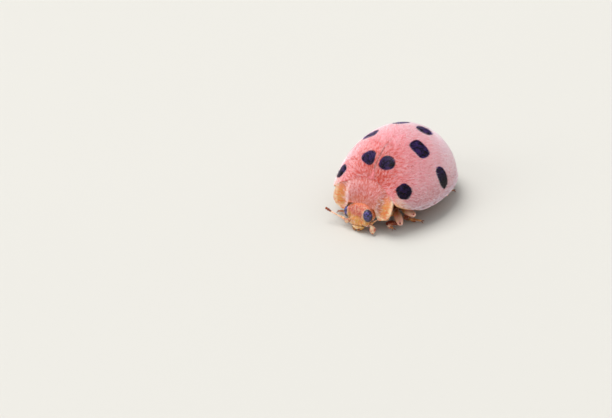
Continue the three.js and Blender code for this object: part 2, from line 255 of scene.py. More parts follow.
def weld(piece, distance=1e-5):
    activate(piece)
    bpy.ops.object.mode_set(mode="EDIT")
    bpy.ops.mesh.select_all(action="SELECT")
    bpy.ops.mesh.remove_doubles(threshold=distance)
    bpy.ops.object.mode_set(mode="OBJECT")


def round_edges(piece, width, segments):
    modify(piece, "BEVEL", width=width, segments=segments, limit_method="ANGLE", angle_limit=SHARP_EDGE)


def join(name, pieces):
    activate(*pieces)
    bpy.ops.object.join()
    return named(name)


def dress(piece, material):
    piece.data.materials.clear()
    piece.data.materials.append(material)
    return piece


def finish_piece(piece, slot, *nodes, angle=40):
    """Makes the piece metres, smooths it and hands it to the frame."""
    activate(piece)
    piece.scale = (MM, MM, MM)
    bpy.ops.object.transform_apply(location=True, rotation=True, scale=True)
    bpy.ops.object.shade_smooth_by_angle(angle=math.radians(angle))
    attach(piece, "root")
    if nodes:
        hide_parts(*nodes)
    return piece


def unit(vectors):
    return vectors / np.maximum(np.linalg.norm(vectors, axis=-1, keepdims=True), 1e-12)


def smooth(low, high, value):
    share = np.clip((value - low) / (high - low), 0, 1)
    return share * share * (3 - 2 * share)


def bell(value, middle, width):
    return np.exp(-((value - middle) / width) ** 2)


def frame_on(surface, a, b, step=1e-3):
    """Points, outward normals and unit directions along a and b of surface(a, b)."""
    along_a = surface(np.minimum(a + step, 1), b) - surface(np.maximum(a - step, 0), b)
    along_b = surface(a, np.minimum(b + step, 1)) - surface(a, np.maximum(b - step, 0))
    return surface(a, b), unit(np.cross(along_a, along_b)), unit(along_a), unit(along_b)


def bent_sheet(name, surface, across, along):
    """A grid laid on surface(a, b), a and b from 0 to 1, with a and b as its UV map."""
    deselect()
    bpy.ops.mesh.primitive_grid_add(x_subdivisions=across, y_subdivisions=along, size=1)
    piece = named(name)
    flat = points_of(piece) + 0.5
    put_points(piece, surface(np.clip(flat[:, 0], 0, 1), np.clip(flat[:, 1], 0, 1)))
    return piece


def on_path(path, share):
    """Points and directions along a straight run of two points or a bow of three."""
    share = share[:, None]
    ends = [np.array(point, float) for point in path]
    if len(ends) == 2:
        return ends[0] + (ends[1] - ends[0]) * share, np.broadcast_to(ends[1] - ends[0], (len(share), 3))
    start, bend, stop = ends
    place = start * (1 - share) ** 2 + 2 * bend * share * (1 - share) + stop * share ** 2
    return place, 2 * (bend - start) * (1 - share) + 2 * (stop - bend) * share


def drawn_ball(name, path, widths, depths, flat=(0, 0, 1), sides=20, rings=16, blunt=0.6):
    """A ball drawn out along a path. Its half widths lie across the flat direction, its half
    depths along it, both spread evenly from start to end. Low blunt makes full ends."""
    deselect()
    bpy.ops.mesh.primitive_uv_sphere_add(segments=sides, ring_count=rings, radius=1)
    piece = named(name)
    ball = points_of(piece)
    share = (ball[:, 2] + 1) / 2
    reach = np.hypot(ball[:, 0], ball[:, 1])
    swell = reach ** blunt / np.maximum(reach, 1e-9)
    place, direction = on_path(path, share)
    forward = unit(direction)
    depth_way = np.array(flat, float) - forward * (forward @ np.array(flat, float))[:, None]
    depth_way = unit(depth_way)
    width_way = np.cross(depth_way, forward)
    stations = np.linspace(0, 1, len(widths))
    width = np.interp(share, stations, widths) * swell * ball[:, 0]
    depth = np.interp(share, np.linspace(0, 1, len(depths)), depths) * swell * ball[:, 1]
    put_points(piece, place + width_way * width[:, None] + depth_way * depth[:, None])
    return piece


def ellipsoid(name, centre, radii, sides=32, rings=20):
    deselect()
    bpy.ops.mesh.primitive_uv_sphere_add(segments=sides, ring_count=rings, radius=1, location=centre,
                                         scale=radii)
    bpy.ops.object.transform_apply(location=True, rotation=True, scale=True)
    return named(name)


# ---------- surfaces ----------

def case_point(u, s):
    """The outer face of the left elytron, u from midline to margin and s from base to tip."""
    rear = s > 0
    turn = np.abs(s)
    crest = turn * np.where(rear, HALF_TURN, CREST_ANGLE)
    flank = turn * np.where(rear, HALF_TURN, SHOULDER_ANGLE)
    swell = np.sin(flank) ** (2 / PLAN_POWER)
    mid_y = np.where(rear, CREST_Y + (APEX_Y - CREST_Y) * np.sin(crest) ** (2 / PLAN_POWER),
                     CREST_Y - CREST_TO_NOSE * np.sin(crest) ** (2 / NOSE_POWER))
    side_y = np.where(rear, WIDEST_Y + (APEX_Y - WIDEST_Y) * swell, WIDEST_Y - WIDEST_TO_NOSE * swell)
    mid_z = MARGIN_Z + DOME_RISE * np.cos(crest)
    arch = u * HALF_TURN
    share = np.cos(arch).clip(0) ** (2 / ARCH_POWER)
    bow = SHOULDER_ADVANCE * np.sin(math.pi * u ** SHOULDER_SKEW) ** 2
    bow = np.where(rear, 0, (bow + COLLAR["advance"] * bell(u, COLLAR["u"], COLLAR["spread"])) * turn ** 3)
    off_callus = ((u - CALLUS["u"]) ** 2 + (s - CALLUS["s"]) ** 2) / CALLUS["spread"] ** 2
    knob = CALLUS["height"] * np.exp(-off_callus)
    x = HALF_WIDTH * np.cos(flank) * np.sin(arch) ** (2 / ARCH_POWER) + knob / 2
    y = mid_y + (side_y - mid_y) * (1 - np.cos(arch)) - bow
    z = MARGIN_Z + (mid_z - MARGIN_Z) * share + knob
    return np.stack([x, y, z], axis=-1)


def case_with_ledge(side, depth, gap=SUTURE_GAP):
    """An elytron's face as surface(a, b): the dome, its beaded margin and the ledge beneath.
    depth is how far the face lies inside the frame's own."""
    def surface(a, b):
        column = a if side > 0 else 1 - a
        u = np.minimum(column / (1 - LEDGE_SHARE), 1)
        ledge = np.maximum(column - 1 + LEDGE_SHARE, 0) / LEDGE_SHARE
        turn_in = np.clip((u - CASE_CORNER) / (1 - CASE_CORNER), 0, 1)
        front = CASE_ROUNDING * (1 - np.sqrt(1 - turn_in * turn_in)) - 1
        s = front + (CASE_TIP - front) * b
        safe_s = np.clip(s, -1, POLE_STOP)
        step = 1e-3
        across = case_point(np.minimum(u + step, 1), safe_s) - case_point(np.maximum(u - step, 0), safe_s)
        along = case_point(u, np.minimum(safe_s + step, 1)) - case_point(u, np.maximum(safe_s - step, -1))
        normal = unit(np.cross(across, along))
        inland = np.where(ledge > 0, ledge * LEDGE_WIDTH, (1 - u) * ARC_TO_MARGIN)
        relief = BEAD["height"] * bell(inland, 0, BEAD["width"])
        gutter = GUTTER["depth"] * bell(inland, GUTTER["inland"], GUTTER["width"])
        relief = relief - np.where(ledge > 0, 0, gutter)
        fade = np.minimum(1, (1 - b) * 12)
        point = case_point(u, s) + normal * (relief * fade - depth)[..., None]
        point = point - normal * (ledge * LEDGE_WIDTH * fade)[..., None]
        point[..., 2] += LEDGE_RISE * ledge ** 2 - 0.5 * BEAD["height"] * bell(inland, 0, BEAD["width"])
        point[..., 0] = np.maximum(point[..., 0], 0) + gap / 2
        return point * np.array([side, 1, 1])
    return surface


def shield_point(a, b):
    """The pronotum's outer face, a from right to left and b from its front edge to its hind one."""
    u = 2 * a - 1
    inset = np.clip((np.abs(u) - SHIELD_CORNER) / (1 - SHIELD_CORNER), 0, 1)
    start = SHIELD_ROUNDING * (1 - np.sqrt(1 - inset * inset))
    b = start + (1 - start) * b
    away = np.abs(u) ** SHIELD_HIND["power"]
    hind = np.stack([SHIELD_HIND["half"] * u, SHIELD_HIND["y"] - SHIELD_HIND["advance"] * away,
                     SHIELD_HIND["z"] - SHIELD_HIND["droop"] * away - SHIELD_HIND["fall"] * u ** 4], axis=-1)
    droop = smooth(*SHIELD_LOBE, np.abs(u))
    front = np.stack([SHIELD_FRONT["half"] * u, SHIELD_FRONT["y"] - SHIELD_FRONT["advance"] * u * u,
                      SHIELD_FRONT["z"] - SHIELD_FRONT["fall"] * droop], axis=-1)
    belly = np.sin(math.pi * b)
    point = front + (hind - front) * b[..., None]
    point[..., 0] += SHIELD_BULGE * belly * u ** 3
    point[..., 1] -= SHIELD_CROWN * belly * (1 - 0.6 * u * u)
    point[..., 2] += SHIELD_CROWN * belly * (1 - u * u)
    return point


def shield_relief(a, b):
    """Height of the pronotum's disc, side channels and raised edge over the plain shield."""
    u = np.abs(2 * a - 1)
    disc = 0.05 * (1 - smooth(0.45, 0.68, u))
    channel = -0.05 * bell(u, 0.72, 0.09) * smooth(0, 0.2, b)
    edge = np.minimum(np.minimum(1 - u, b), 1 - b)
    bead = 0.025 * bell(edge, 0.015, 0.03)
    return disc + channel + bead


def shield_face(depth):
    def surface(a, b):
        point, normal, _, _ = frame_on(shield_point, a, b)
        return point + normal * (shield_relief(a, b) - depth - 0.05)[..., None]
    return surface


HEAD_SET = Matrix.Rotation(-HEAD_TURN, 3, "Z") @ Matrix.Rotation(-HEAD_ROLL, 3, "Y")


def turned_about_neck(spots):
    """The head's pieces are laid out facing straight ahead, then turned and tipped to its right."""
    turn = np.array(HEAD_SET)
    return (spots - np.array(NECK)) @ turn.T + np.array(NECK)


def turn_head_piece(piece):
    put_points(piece, turned_about_neck(points_of(piece)))
    return piece


# ---------- down ----------

def rows_on(surface, spacing, draw, jitter=0.3):
    """Roots in staggered rows, about evenly spaced over surface(a, b)."""
    fine = np.linspace(0, 1, 201)
    spine = surface(np.full(201, 0.5), fine)
    run = np.concatenate([[0], np.cumsum(np.linalg.norm(np.diff(spine, axis=0), axis=1))])
    rows = max(2, int(run[-1] / (spacing * math.sin(math.pi / 3))))
    found = []
    for row in range(rows):
        b = np.interp((row + 0.5) / rows * run[-1], run, fine)
        line = surface(fine, np.full(201, b))
        reach = np.concatenate([[0], np.cumsum(np.linalg.norm(np.diff(line, axis=0), axis=1))])
        count = int(reach[-1] / spacing)
        if count < 1:
            continue
        place = (np.arange(count) + 0.25 + 0.5 * (row % 2) + jitter * (draw.random(count) - 0.5)) / count
        nudge = jitter * (draw.random(count) - 0.5) / rows
        found.append(np.stack([np.interp(place * reach[-1], reach, fine), np.full(count, b) + nudge], axis=1))
    roots = np.clip(np.concatenate(found), 0.002, 0.998)
    return roots[:, 0], roots[:, 1]


def sort_faces(piece):
    """Puts the faces in the order of their vertices, because a primitive's own order can vary."""
    skin = bmesh.new()
    skin.from_mesh(piece.data)
    skin.verts.index_update()
    count = len(skin.verts)

    def rank(face):
        first, second, third = sorted(vert.index for vert in face.verts)[:3]
        return float((first * count + second) * count + third)

    skin.faces.sort(key=rank)
    skin.to_mesh(piece.data)
    skin.free()


def scatter_on(piece, spacing, draw):
    """Roots spread over a mesh: places, normals and places on its unwrap."""
    sort_faces(piece)
    activate(piece)
    bpy.ops.object.mode_set(mode="EDIT")
    bpy.ops.mesh.select_all(action="SELECT")
    bpy.ops.uv.smart_project(angle_limit=math.radians(66), island_margin=0.01)
    bpy.ops.object.mode_set(mode="OBJECT")
    mesh = piece.data
    mesh.calc_loop_triangles()
    corners = np.array([t.vertices[:] for t in mesh.loop_triangles])
    loops = np.array([t.loops[:] for t in mesh.loop_triangles])
    spots = points_of(piece)
    unwrap = np.empty(len(mesh.loops) * 2)
    mesh.uv_layers.active.data.foreach_get("uv", unwrap)
    unwrap = unwrap.reshape(-1, 2)
    p, q, r = (spots[corners[:, i]] for i in range(3))
    cross = np.cross(q - p, r - p)
    area = np.linalg.norm(cross, axis=1) / 2
    count = int(area.sum() / (spacing * spacing))
    pick = draw.choice(len(area), size=count, p=area / area.sum())
    w = draw.random((count, 2))
    w = np.where((w.sum(axis=1) > 1)[:, None], 1 - w, w)
    root = p[pick] + (q[pick] - p[pick]) * w[:, :1] + (r[pick] - p[pick]) * w[:, 1:]
    uv = [unwrap[loops[pick, i]] for i in range(3)]
    place = uv[0] + (uv[1] - uv[0]) * w[:, :1] + (uv[2] - uv[0]) * w[:, 1:]
    return root, unit(cross[pick]), place


RING_LEVELS = (0.0, 0.4, 0.75)
RING_WIDTHS = (1.0, 0.85, 0.5)
PATCH = 0.003  # size of a hair's patch on the bake map
HAIR_FACES = 16


def grow_down(name, root, normal, lie, place, length, radius, lift, material):
    """Hairs joined in one mesh, each a bent three-sided spine of sixteen triangles.
    length, radius and lift (the sine of the angle at the root) are one value or one per hair."""
    count = len(root)
    length, radius, lift = (np.broadcast_to(value, count)[:, None] for value in (length, radius, lift))
    lie = unit(lie - normal * (lie * normal).sum(axis=1, keepdims=True))
    side = np.cross(normal, lie)
    rings = []
    for level, width in zip(RING_LEVELS, RING_WIDTHS):
        centre = root + lie * length * level + normal * length * lift * (level - 0.45 * level * level)
        for corner in range(3):
            angle = HALF_TURN + corner * 2 * math.pi / 3
            rings.append(centre + radius * width * (side * math.cos(angle) + normal * math.sin(angle)))
    rings.append(root + lie * length + normal * length * lift * 0.55)
    spots = np.stack(rings, axis=1).reshape(-1, 3)
    faces = [(2, 1, 0)]
    for ring in (0, 3):
        for corner in range(3):
            following = (corner + 1) % 3
            faces.append((ring + corner, ring + following, ring + following + 3))
            faces.append((ring + corner, ring + following + 3, ring + corner + 3))
    faces += [(6, 7, 9), (7, 8, 9), (8, 6, 9)]
    faces = np.array(faces)
    per_hair = len(rings)
    triangles = (faces[None] + per_hair * np.arange(count)[:, None, None]).reshape(-1, 3)
    mesh = bpy.data.meshes.new(name)
    mesh.from_pydata(spots, [], triangles)
    local = np.array([(corner / 3, level) for level in RING_LEVELS for corner in range(3)] + [(0.5, 1)])
    patch = place[:, None, :] * (1 - PATCH) + PATCH * local[None]
    bake_map = mesh.uv_layers.new(name="OFBake")
    bake_map.data.foreach_set("uv", patch.reshape(-1, 2)[triangles.ravel()].ravel())
    origin = mesh.attributes.new("root", "FLOAT_VECTOR", "POINT")
    origin.data.foreach_set("vector", np.repeat(root * MM, per_hair, axis=0).ravel())
    piece = bpy.data.objects.new(name, mesh)
    bpy.context.scene.collection.objects.link(piece)
    return dress(piece, material)


# ---------- material helpers ----------

def node(tree, kind, inputs=None, **settings):
    made = tree.nodes.new("ShaderNode" + kind)
    for setting, value in settings.items():
        setattr(made, setting, value)
    for socket, value in (inputs or {}).items():
        if isinstance(value, bpy.types.NodeSocket):
            tree.links.new(value, made.inputs[socket])
        else:
            made.inputs[socket].default_value = value
    return made


def ramp(tree, value, low, high, to_low=0.0, to_high=1.0):
    made = node(tree, "MapRange", {"Value": value, "From Min": low, "From Max": high, "To Min": to_low,
                                   "To Max": to_high}, interpolation_type="SMOOTHSTEP")
    return made.outputs["Result"]


def maths(tree, operation, first, second=0.0):
    return node(tree, "Math", {0: first, 1: second}, operation=operation).outputs[0]


def rgba(value):
    return (*value, 1.0) if not isinstance(value, bpy.types.NodeSocket) else value


def blend(tree, factor, first, second, mode="MIX"):
    made = node(tree, "Mix", data_type="RGBA", blend_type=mode)
    for socket, value in ((0, factor), (6, rgba(first)), (7, rgba(second))):
        if isinstance(value, bpy.types.NodeSocket):
            tree.links.new(value, made.inputs[socket])
        else:
            made.inputs[socket].default_value = value
    return made.outputs[2]


def noise(tree, vector, size, detail=3.0, rough=0.5):
    """Cloudy variation whose features are about size millimetres across."""
    made = node(tree, "TexNoise", {"Vector": vector, "Scale": 1 / (size * MM), "Detail": detail,
                                   "Roughness": rough})
    return made.outputs["Fac"]


def new_material(name, **settings):
    """A principled material; settings are its shader's fixed values."""
    material = bpy.data.materials.new(name)
    material.use_nodes = True
    tree = material.node_tree
    shader = tree.nodes["Principled BSDF"]
    for socket, value in settings.items():
        shader.inputs[socket.replace("_", " ")].default_value = value
    return material, tree, shader


def connect(tree, shader, **sockets):
    for socket, value in sockets.items():
        tree.links.new(value, shader.inputs[socket.replace("_", " ")])


def sheet_place(tree):
    """Place on the piece's own sheet: X across it and Y along it."""
    return node(tree, "SeparateXYZ", {"Vector": node(tree, "UVMap", uv_map="UVMap").outputs["UV"]}).outputs


def object_place(tree):
    return node(tree, "TexCoord").outputs["Object"]


def bump(tree, height, depth, strength=1.0, under=None):
    """Relief of the given depth in millimetres."""
    inputs = {"Height": height, "Distance": depth * MM, "Strength": strength}
    if under is not None:
        inputs["Normal"] = under
    return node(tree, "Bump", inputs).outputs["Normal"]


def pits(tree, vector, spacing, reach=0.45):
    """1 on the shell and 0 at the bottom of a puncture."""
    cells = node(tree, "TexVoronoi", {"Vector": vector, "Scale": 1 / spacing, "Randomness": 0.55})
    return ramp(tree, cells.outputs["Distance"], 0.0, reach)


def flesh_glow(shader, weight, depth):
    """Light that passes a short way through the shell, depth in millimetres."""
    shader.inputs["Subsurface Weight"].default_value = weight
    shader.inputs["Subsurface Radius"].default_value = (1.0, 0.45, 0.28)
    shader.inputs["Subsurface Scale"].default_value = depth * MM


def spot_axes(spot):
    """Middle of a spot of the left elytron, and its own directions as columns."""
    u, s = np.array([spot.u]), np.array([spot.s])
    step = 1e-3
    across = unit(case_point(u + step, s) - case_point(u - step, s))[0]
    along = unit(case_point(u, s + step) - case_point(u, s - step))[0]
    normal = unit(np.cross(across, along))
    axes = Matrix((across, np.cross(normal, across), normal)).transposed()
    return case_point(u, s)[0], axes @ Matrix.Rotation(math.radians(spot.turn), 3, "Z")


def in_spots(side, points):
    """Which of these points of an elytron, in millimetres, lie in its spots."""
    inside = np.zeros(len(points), bool)
    for spot in SPOTS[side]:
        middle, axes = spot_axes(spot)
        local = (points * np.array([SIDES[side], 1, 1]) - middle) @ np.array(axes)
        x, y = local[:, 0] / spot.across, local[:, 1] / spot.along
        reach = np.hypot(x, y) * (1 - spot.square) + (x ** 4 + y ** 4) ** 0.25 * spot.square
        wave = 1 - spot.sway * np.cos(spot.lobes * np.arctan2(y, x) + math.radians(spot.phase))
        inside |= reach * wave < 1
    return inside


def spot_mask(tree, place, side):
    """1 where a place of an elytron lies in one of its spots."""
    if side == "right":
        place = node(tree, "VectorMath", {0: place, 1: (-1, 1, 1)}, operation="MULTIPLY").outputs[0]
    ragged = maths(tree, "MULTIPLY", maths(tree, "SUBTRACT", noise(tree, place, 0.2, 2.0), 0.5), 0.08)
    mask = None
    for spot in SPOTS[side]:
        middle, axes = spot_axes(spot)
        local = node(tree, "Mapping", {"Vector": place, "Location": Vector(middle) * MM,
                                       "Rotation": axes.to_euler(),
                                       "Scale": (spot.across * MM, spot.along * MM, MM)},
                     vector_type="TEXTURE").outputs["Vector"]
        flat = node(tree, "VectorMath", {0: local, 1: (1, 1, 0)}, operation="MULTIPLY").outputs[0]
        square = node(tree, "VectorMath", {0: flat, 1: flat}, operation="MULTIPLY").outputs[0]
        fourth = node(tree, "VectorMath", {0: square, 1: square}, operation="DOT_PRODUCT").outputs["Value"]
        box = maths(tree, "POWER", fourth, 0.25)
        round_ = node(tree, "VectorMath", {0: flat}, operation="LENGTH").outputs["Value"]
        reach = node(tree, "Mix", {0: spot.square, 2: round_, 3: box}).outputs[0]
        parts = node(tree, "SeparateXYZ", {"Vector": flat}).outputs
        angle = maths(tree, "ARCTAN2", parts["Y"], parts["X"])
        angle = maths(tree, "ADD", maths(tree, "MULTIPLY", angle, spot.lobes), math.radians(spot.phase))
        wave = maths(tree, "ADD", maths(tree, "MULTIPLY", maths(tree, "COSINE", angle), -spot.sway), 1.0)
        reach = maths(tree, "ADD", maths(tree, "MULTIPLY", reach, wave), ragged)
        inside = ramp(tree, reach, 1.04, 0.96)
        mask = inside if mask is None else maths(tree, "MAXIMUM", mask, inside)
    return mask


# ---------- materials ----------

SCUTELLUM_PLACE = (0.0, -2.0 * MM, 2.7 * MM)


def case_material(side, sizes, colours):
    material, tree, shader = new_material(f"elytron {side}", Roughness=0.42, Specular_IOR_Level=0.28)
    flesh_glow(shader, 0.15, 0.25)
    place = object_place(tree)
    parts = node(tree, "SeparateXYZ", {"Vector": place}).outputs
    own = sheet_place(tree)
    column = own["X"] if side == "left" else maths(tree, "SUBTRACT", 1.0, own["X"])
    near = node(tree, "VectorMath", {0: place, 1: SCUTELLUM_PLACE}, operation="DISTANCE").outputs["Value"]
    cloud = noise(tree, place, 0.9)
    # Far from the scutellum the pink pales to lilac: a painted haze of light over the crest and rear, not the
    # cases' own colour.
    base = blend(tree, ramp(tree, near, 2.2 * MM, 4.8 * MM), colours.pink, colours.lilac_and_haze)
    warm = maths(tree, "MULTIPLY", ramp(tree, near, 0.3 * MM, 2.6 * MM, 1, 0),
                 maths(tree, "ADD", cloud, 0.35))
    base = blend(tree, warm, base, colours.coral)
    # Duller rose towards the bottom of the cases: painted shade on their lower sides.
    low = ramp(tree, parts["Z"], 2.3 * MM, 1.2 * MM)
    base = blend(tree, maths(tree, "MULTIPLY", low, 0.6), base, colours.rose_shade)
    mottle = ramp(tree, noise(tree, place, 0.12, 4.0, 0.6), 0.35, 0.65, 0, 0.5)
    base = blend(tree, mottle, base, colours.coral)
    seam = maths(tree, "MULTIPLY", ramp(tree, column, 0.014, 0.002),
                 ramp(tree, parts["Y"], 0.2 * MM, -1.4 * MM))
    base = blend(tree, maths(tree, "MULTIPLY", seam, 0.7), base, colours.dark)
    rim_colour = blend(tree, ramp(tree, parts["Y"], -1.7 * MM, -0.6 * MM), colours.peach, colours.lilac_and_haze)
    rim = ramp(tree, column, (1 - LEDGE_SHARE) * 0.935, (1 - LEDGE_SHARE) * 0.985)
    collar = maths(tree, "MULTIPLY", ramp(tree, own["Y"], 0.075, 0.03), ramp(tree, column, 0.4, 0.62))
    base = blend(tree, maths(tree, "MAXIMUM", rim, collar), base, rim_colour)
    under = ramp(tree, column, 1 - LEDGE_SHARE * 0.8, 1 - LEDGE_SHARE * 0.4)
    base = blend(tree, under, base, colours.belly)
    spot = spot_mask(tree, place, side)
    base = blend(tree, spot, base, colours.black)
    pit = pits(tree, place, sizes.pit_spacing)
    grain = noise(tree, place, 0.03, 2.0)
    relief = bump(tree, pit, 0.012, 0.8)
    # The bottoms of the punctures are darkened: painted shade in the pits.
    connect(tree, shader, Base_Color=blend(tree, ramp(tree, pit, 0.0, 0.9, 0.75, 0.0), base, colours.dark),
            Normal=bump(tree, grain, 0.003, 0.5, relief),
            Roughness=ramp(tree, spot, 0, 1, 0.42, 0.24))
    return material


def down_material(name, colours, pale):
    """Hair in pale and ruddy locks, by the place of its own root."""
    material, tree, shader = new_material(name, Roughness=0.5, Specular_IOR_Level=0.3, Sheen_Weight=0.4,
                                          Sheen_Roughness=0.5, Sheen_Tint=(1.0, 0.9, 0.95, 1.0))
    root = node(tree, "Attribute", attribute_name="root").outputs["Vector"]
    near = node(tree, "VectorMath", {0: root, 1: SCUTELLUM_PLACE}, operation="DISTANCE").outputs["Value"]
    cloud = maths(tree, "ADD", noise(tree, root, 0.1, 2.0), ramp(tree, near, 0.2 * MM, 2.6 * MM, 0.05, -0.05))
    locks = ramp(tree, cloud, 0.46, 0.62)
    # Coral by the scutellum is the hairs' own colour; the lilac far from it is painted haze of light over the
    # crest.
    ruddy = blend(tree, ramp(tree, near, 1.0 * MM, 4.2 * MM), colours.coral, colours.lilac_and_haze)
    height = node(tree, "SeparateXYZ", {"Vector": root}).outputs["Z"]
    # Low on the cases the ruddy hairs turn rose: painted shade.
    ruddy = blend(tree, ramp(tree, height, 2.4 * MM, 1.3 * MM, 0, 0.8), ruddy, colours.rose_shade)
    shade = blend(tree, locks, pale, ruddy)
    connect(tree, shader, Base_Color=shade)
    return material


def bristle_material(name, colours):
    material, tree, shader = new_material(name, Roughness=0.4, Specular_IOR_Level=0.4)
    root = node(tree, "Attribute", attribute_name="root").outputs["Vector"]
    shade = blend(tree, ramp(tree, noise(tree, root, 0.1, 2.0), 0.35, 0.65), colours.down, colours.pale)
    connect(tree, shader, Base_Color=shade)
    return material


def spot_down_material(colours):
    """Hair of the spots: dark, so that it takes little light. Its violet is a painted reflection of the sky,
    kept to the upper spots; low on the flanks the hairs stay black, painted shade.
    """
    material, tree, shader = new_material("down spots", Roughness=0.45, Specular_IOR_Level=0.1)
    root = node(tree, "Attribute", attribute_name="root").outputs["Vector"]
    height = node(tree, "SeparateXYZ", {"Vector": root}).outputs["Z"]
    # Painted violet reflection of the sky, fading out low on the flanks, where painted shade leaves the hairs
    # black.
    violet_reflection = maths(tree, "MULTIPLY", ramp(tree, noise(tree, root, 0.15, 2.0), 0.36, 0.6),
                   ramp(tree, height, 1.7 * MM, 2.8 * MM, 0.0, 1.0))
    connect(tree, shader, Base_Color=blend(tree, violet_reflection, colours.black, colours.violet_reflection))
    return material


def shield_material(colours):
    material, tree, shader = new_material(
        "pronotum", Roughness=0.4, Specular_IOR_Level=0.5, Sheen_Weight=0.3, Sheen_Roughness=0.45,
        Sheen_Tint=(1.0, 0.88, 0.84, 1.0))
    flesh_glow(shader, 0.3, 0.3)
    place = object_place(tree)
    own = sheet_place(tree)
    off_middle = maths(tree, "ABSOLUTE", maths(tree, "SUBTRACT", maths(tree, "MULTIPLY", own["X"], 2.0), 1.0))
    cloud = maths(tree, "MULTIPLY", maths(tree, "SUBTRACT", noise(tree, place, 0.35), 0.5), 0.5)
    lobe = maths(tree, "MULTIPLY", ramp(tree, maths(tree, "ADD", off_middle, cloud), 0.48, 0.82),
                 ramp(tree, own["Y"], 0.95, 0.55, 0.25, 1.0))
    base = blend(tree, ramp(tree, own["Y"], 0.5, 0.1, 0, 0.65), colours.shield, colours.ember)
    base = blend(tree, lobe, base, colours.amber)
    edge = ramp(tree, off_middle, 0.86, 0.96)
    front = maths(tree, "MULTIPLY", ramp(tree, own["Y"], 0.22, 0.08), ramp(tree, off_middle, 0.52, 0.7))
    base = blend(tree, maths(tree, "MAXIMUM", edge, front), base, colours.pale)
    mottle = ramp(tree, noise(tree, place, 0.14, 4.0, 0.6), 0.45, 0.75, 0, 0.5)
    base = blend(tree, mottle, base, colours.coral)
    stretched = node(tree, "Mapping", {"Vector": place, "Scale": (0.35, 1.0, 1.6)}).outputs["Vector"]
    streak = ramp(tree, noise(tree, stretched, 0.1, 3.0, 0.6), 0.48, 0.6, 0, 0.85)
    base = blend(tree, maths(tree, "MULTIPLY", streak, lobe), base, colours.ember)
    pit = pits(tree, place, 0.085 * MM)
    # The bottoms of the punctures are darkened: painted shade in the pits.
    connect(tree, shader, Base_Color=blend(tree, ramp(tree, pit, 0.0, 0.8, 0.45, 0.0), base, colours.dark),
            Normal=bump(tree, pit, 0.012, 0.9))
    return material


def eye_place(sign):
    return turned_about_neck(np.array(EYE["centre"])[None] * np.array([sign, 1, 1]))[0]


def face_material(colours):
    material, tree, shader = new_material("head", Roughness=0.36, Specular_IOR_Level=0.5,
                                          Sheen_Weight=0.2, Sheen_Roughness=0.4)
    flesh_glow(shader, 0.3, 0.25)
    place = object_place(tree)
    parts = node(tree, "SeparateXYZ", {"Vector": place}).outputs
    cloud = maths(tree, "MULTIPLY", maths(tree, "SUBTRACT", noise(tree, place, 0.3), 0.5), 0.35 * MM)
    level = maths(tree, "ADD", parts["Z"], cloud)
    base = blend(tree, ramp(tree, level, 1.0 * MM, 0.7 * MM), colours.face, colours.muzzle)
    mottle = ramp(tree, noise(tree, place, 0.09, 4.0, 0.6), 0.45, 0.7, 0, 0.6)
    base = blend(tree, mottle, base, colours.coral)
    upright = node(tree, "Mapping", {"Vector": place, "Scale": (1.0, 1.0, 0.3)}).outputs["Vector"]
    band = ramp(tree, noise(tree, upright, 0.09, 2.0), 0.52, 0.64, 0, 0.45)
    base = blend(tree, band, base, colours.pale)
    shade = ramp(tree, noise(tree, upright, 0.13, 3.0), 0.54, 0.66, 0, 0.6)
    base = blend(tree, shade, base, colours.ember)
    behind = ramp(tree, parts["Y"], -3.24 * MM, -3.08 * MM)
    base = blend(tree, maths(tree, "MULTIPLY", behind, 0.9), base, colours.ember)
    for sign in SIDES.values():
        local = node(tree, "Mapping", {"Vector": place, "Location": Vector(eye_place(sign)) * MM,
                                       "Rotation": HEAD_SET.to_euler(), "Scale": Vector(EYE["radii"]) * MM},
                     vector_type="TEXTURE").outputs["Vector"]
        off_eye = node(tree, "VectorMath", {0: local}, operation="LENGTH").outputs["Value"]
        rim = maths(tree, "MULTIPLY", ramp(tree, off_eye, 1.09, 1.05, 0, 0.5), ramp(tree, behind, 0.6, 0.1))
        base = blend(tree, rim, base, colours.pale)
    pit = pits(tree, place, 0.07 * MM)
    # The bottoms of the punctures are darkened: painted shade in the pits.
    connect(tree, shader, Base_Color=blend(tree, ramp(tree, pit, 0.0, 0.8, 0.3, 0.0), base, colours.dark),
            Normal=bump(tree, pit, 0.01, 0.8))
    return material


def pseudopupil_place(side):
    """The point of an eye, forwards and outwards, where its painted pseudopupil lies."""
    gaze = Vector((0.5 * SIDES[side], -0.75, 0.35)).normalized()
    radii = EYE["radii"]
    return eye_place(SIDES[side]) + np.array([gaze[i] * radii[i] for i in range(3)])


def eye_material(side, colours):
    material, tree, shader = new_material(
        f"eye {side}", Roughness=0.2, Specular_IOR_Level=0.6, Coat_Weight=0.6, Coat_Roughness=0.06)
    place = object_place(tree)
    height = node(tree, "SeparateXYZ", {"Vector": place}).outputs["Z"]
    cloud = ramp(tree, noise(tree, place, 0.1, 3.0), 0.4, 0.62)
    # The lower part of each eye is darkened: painted shade, as if lit from above.
    low = ramp(tree, height, 0.85 * MM, 0.5 * MM)
    base = blend(tree, maths(tree, "MAXIMUM", cloud, low), colours.eye, colours.eye_dark_and_shade)
    # Away from a point facing forwards and out, the eye darkens to black, with a black dot at that point:
    # painted shade at the eye's edge and a painted pseudopupil, the dark spot a compound eye shows only where
    # it faces the viewer.
    off_pupil = node(tree, "VectorMath", {0: place, 1: Vector(pseudopupil_place(side)) * MM}, operation="DISTANCE")
    painted_edge_shade = ramp(tree, off_pupil.outputs["Value"], 0.17 * MM, 0.3 * MM, 0, 0.8)
    painted_pseudopupil = ramp(tree, off_pupil.outputs["Value"], 0.07 * MM, 0.03 * MM)
    base = blend(tree, maths(tree, "MAXIMUM", painted_edge_shade, painted_pseudopupil), base, colours.black)
    connect(tree, shader, Base_Color=base)
    return material


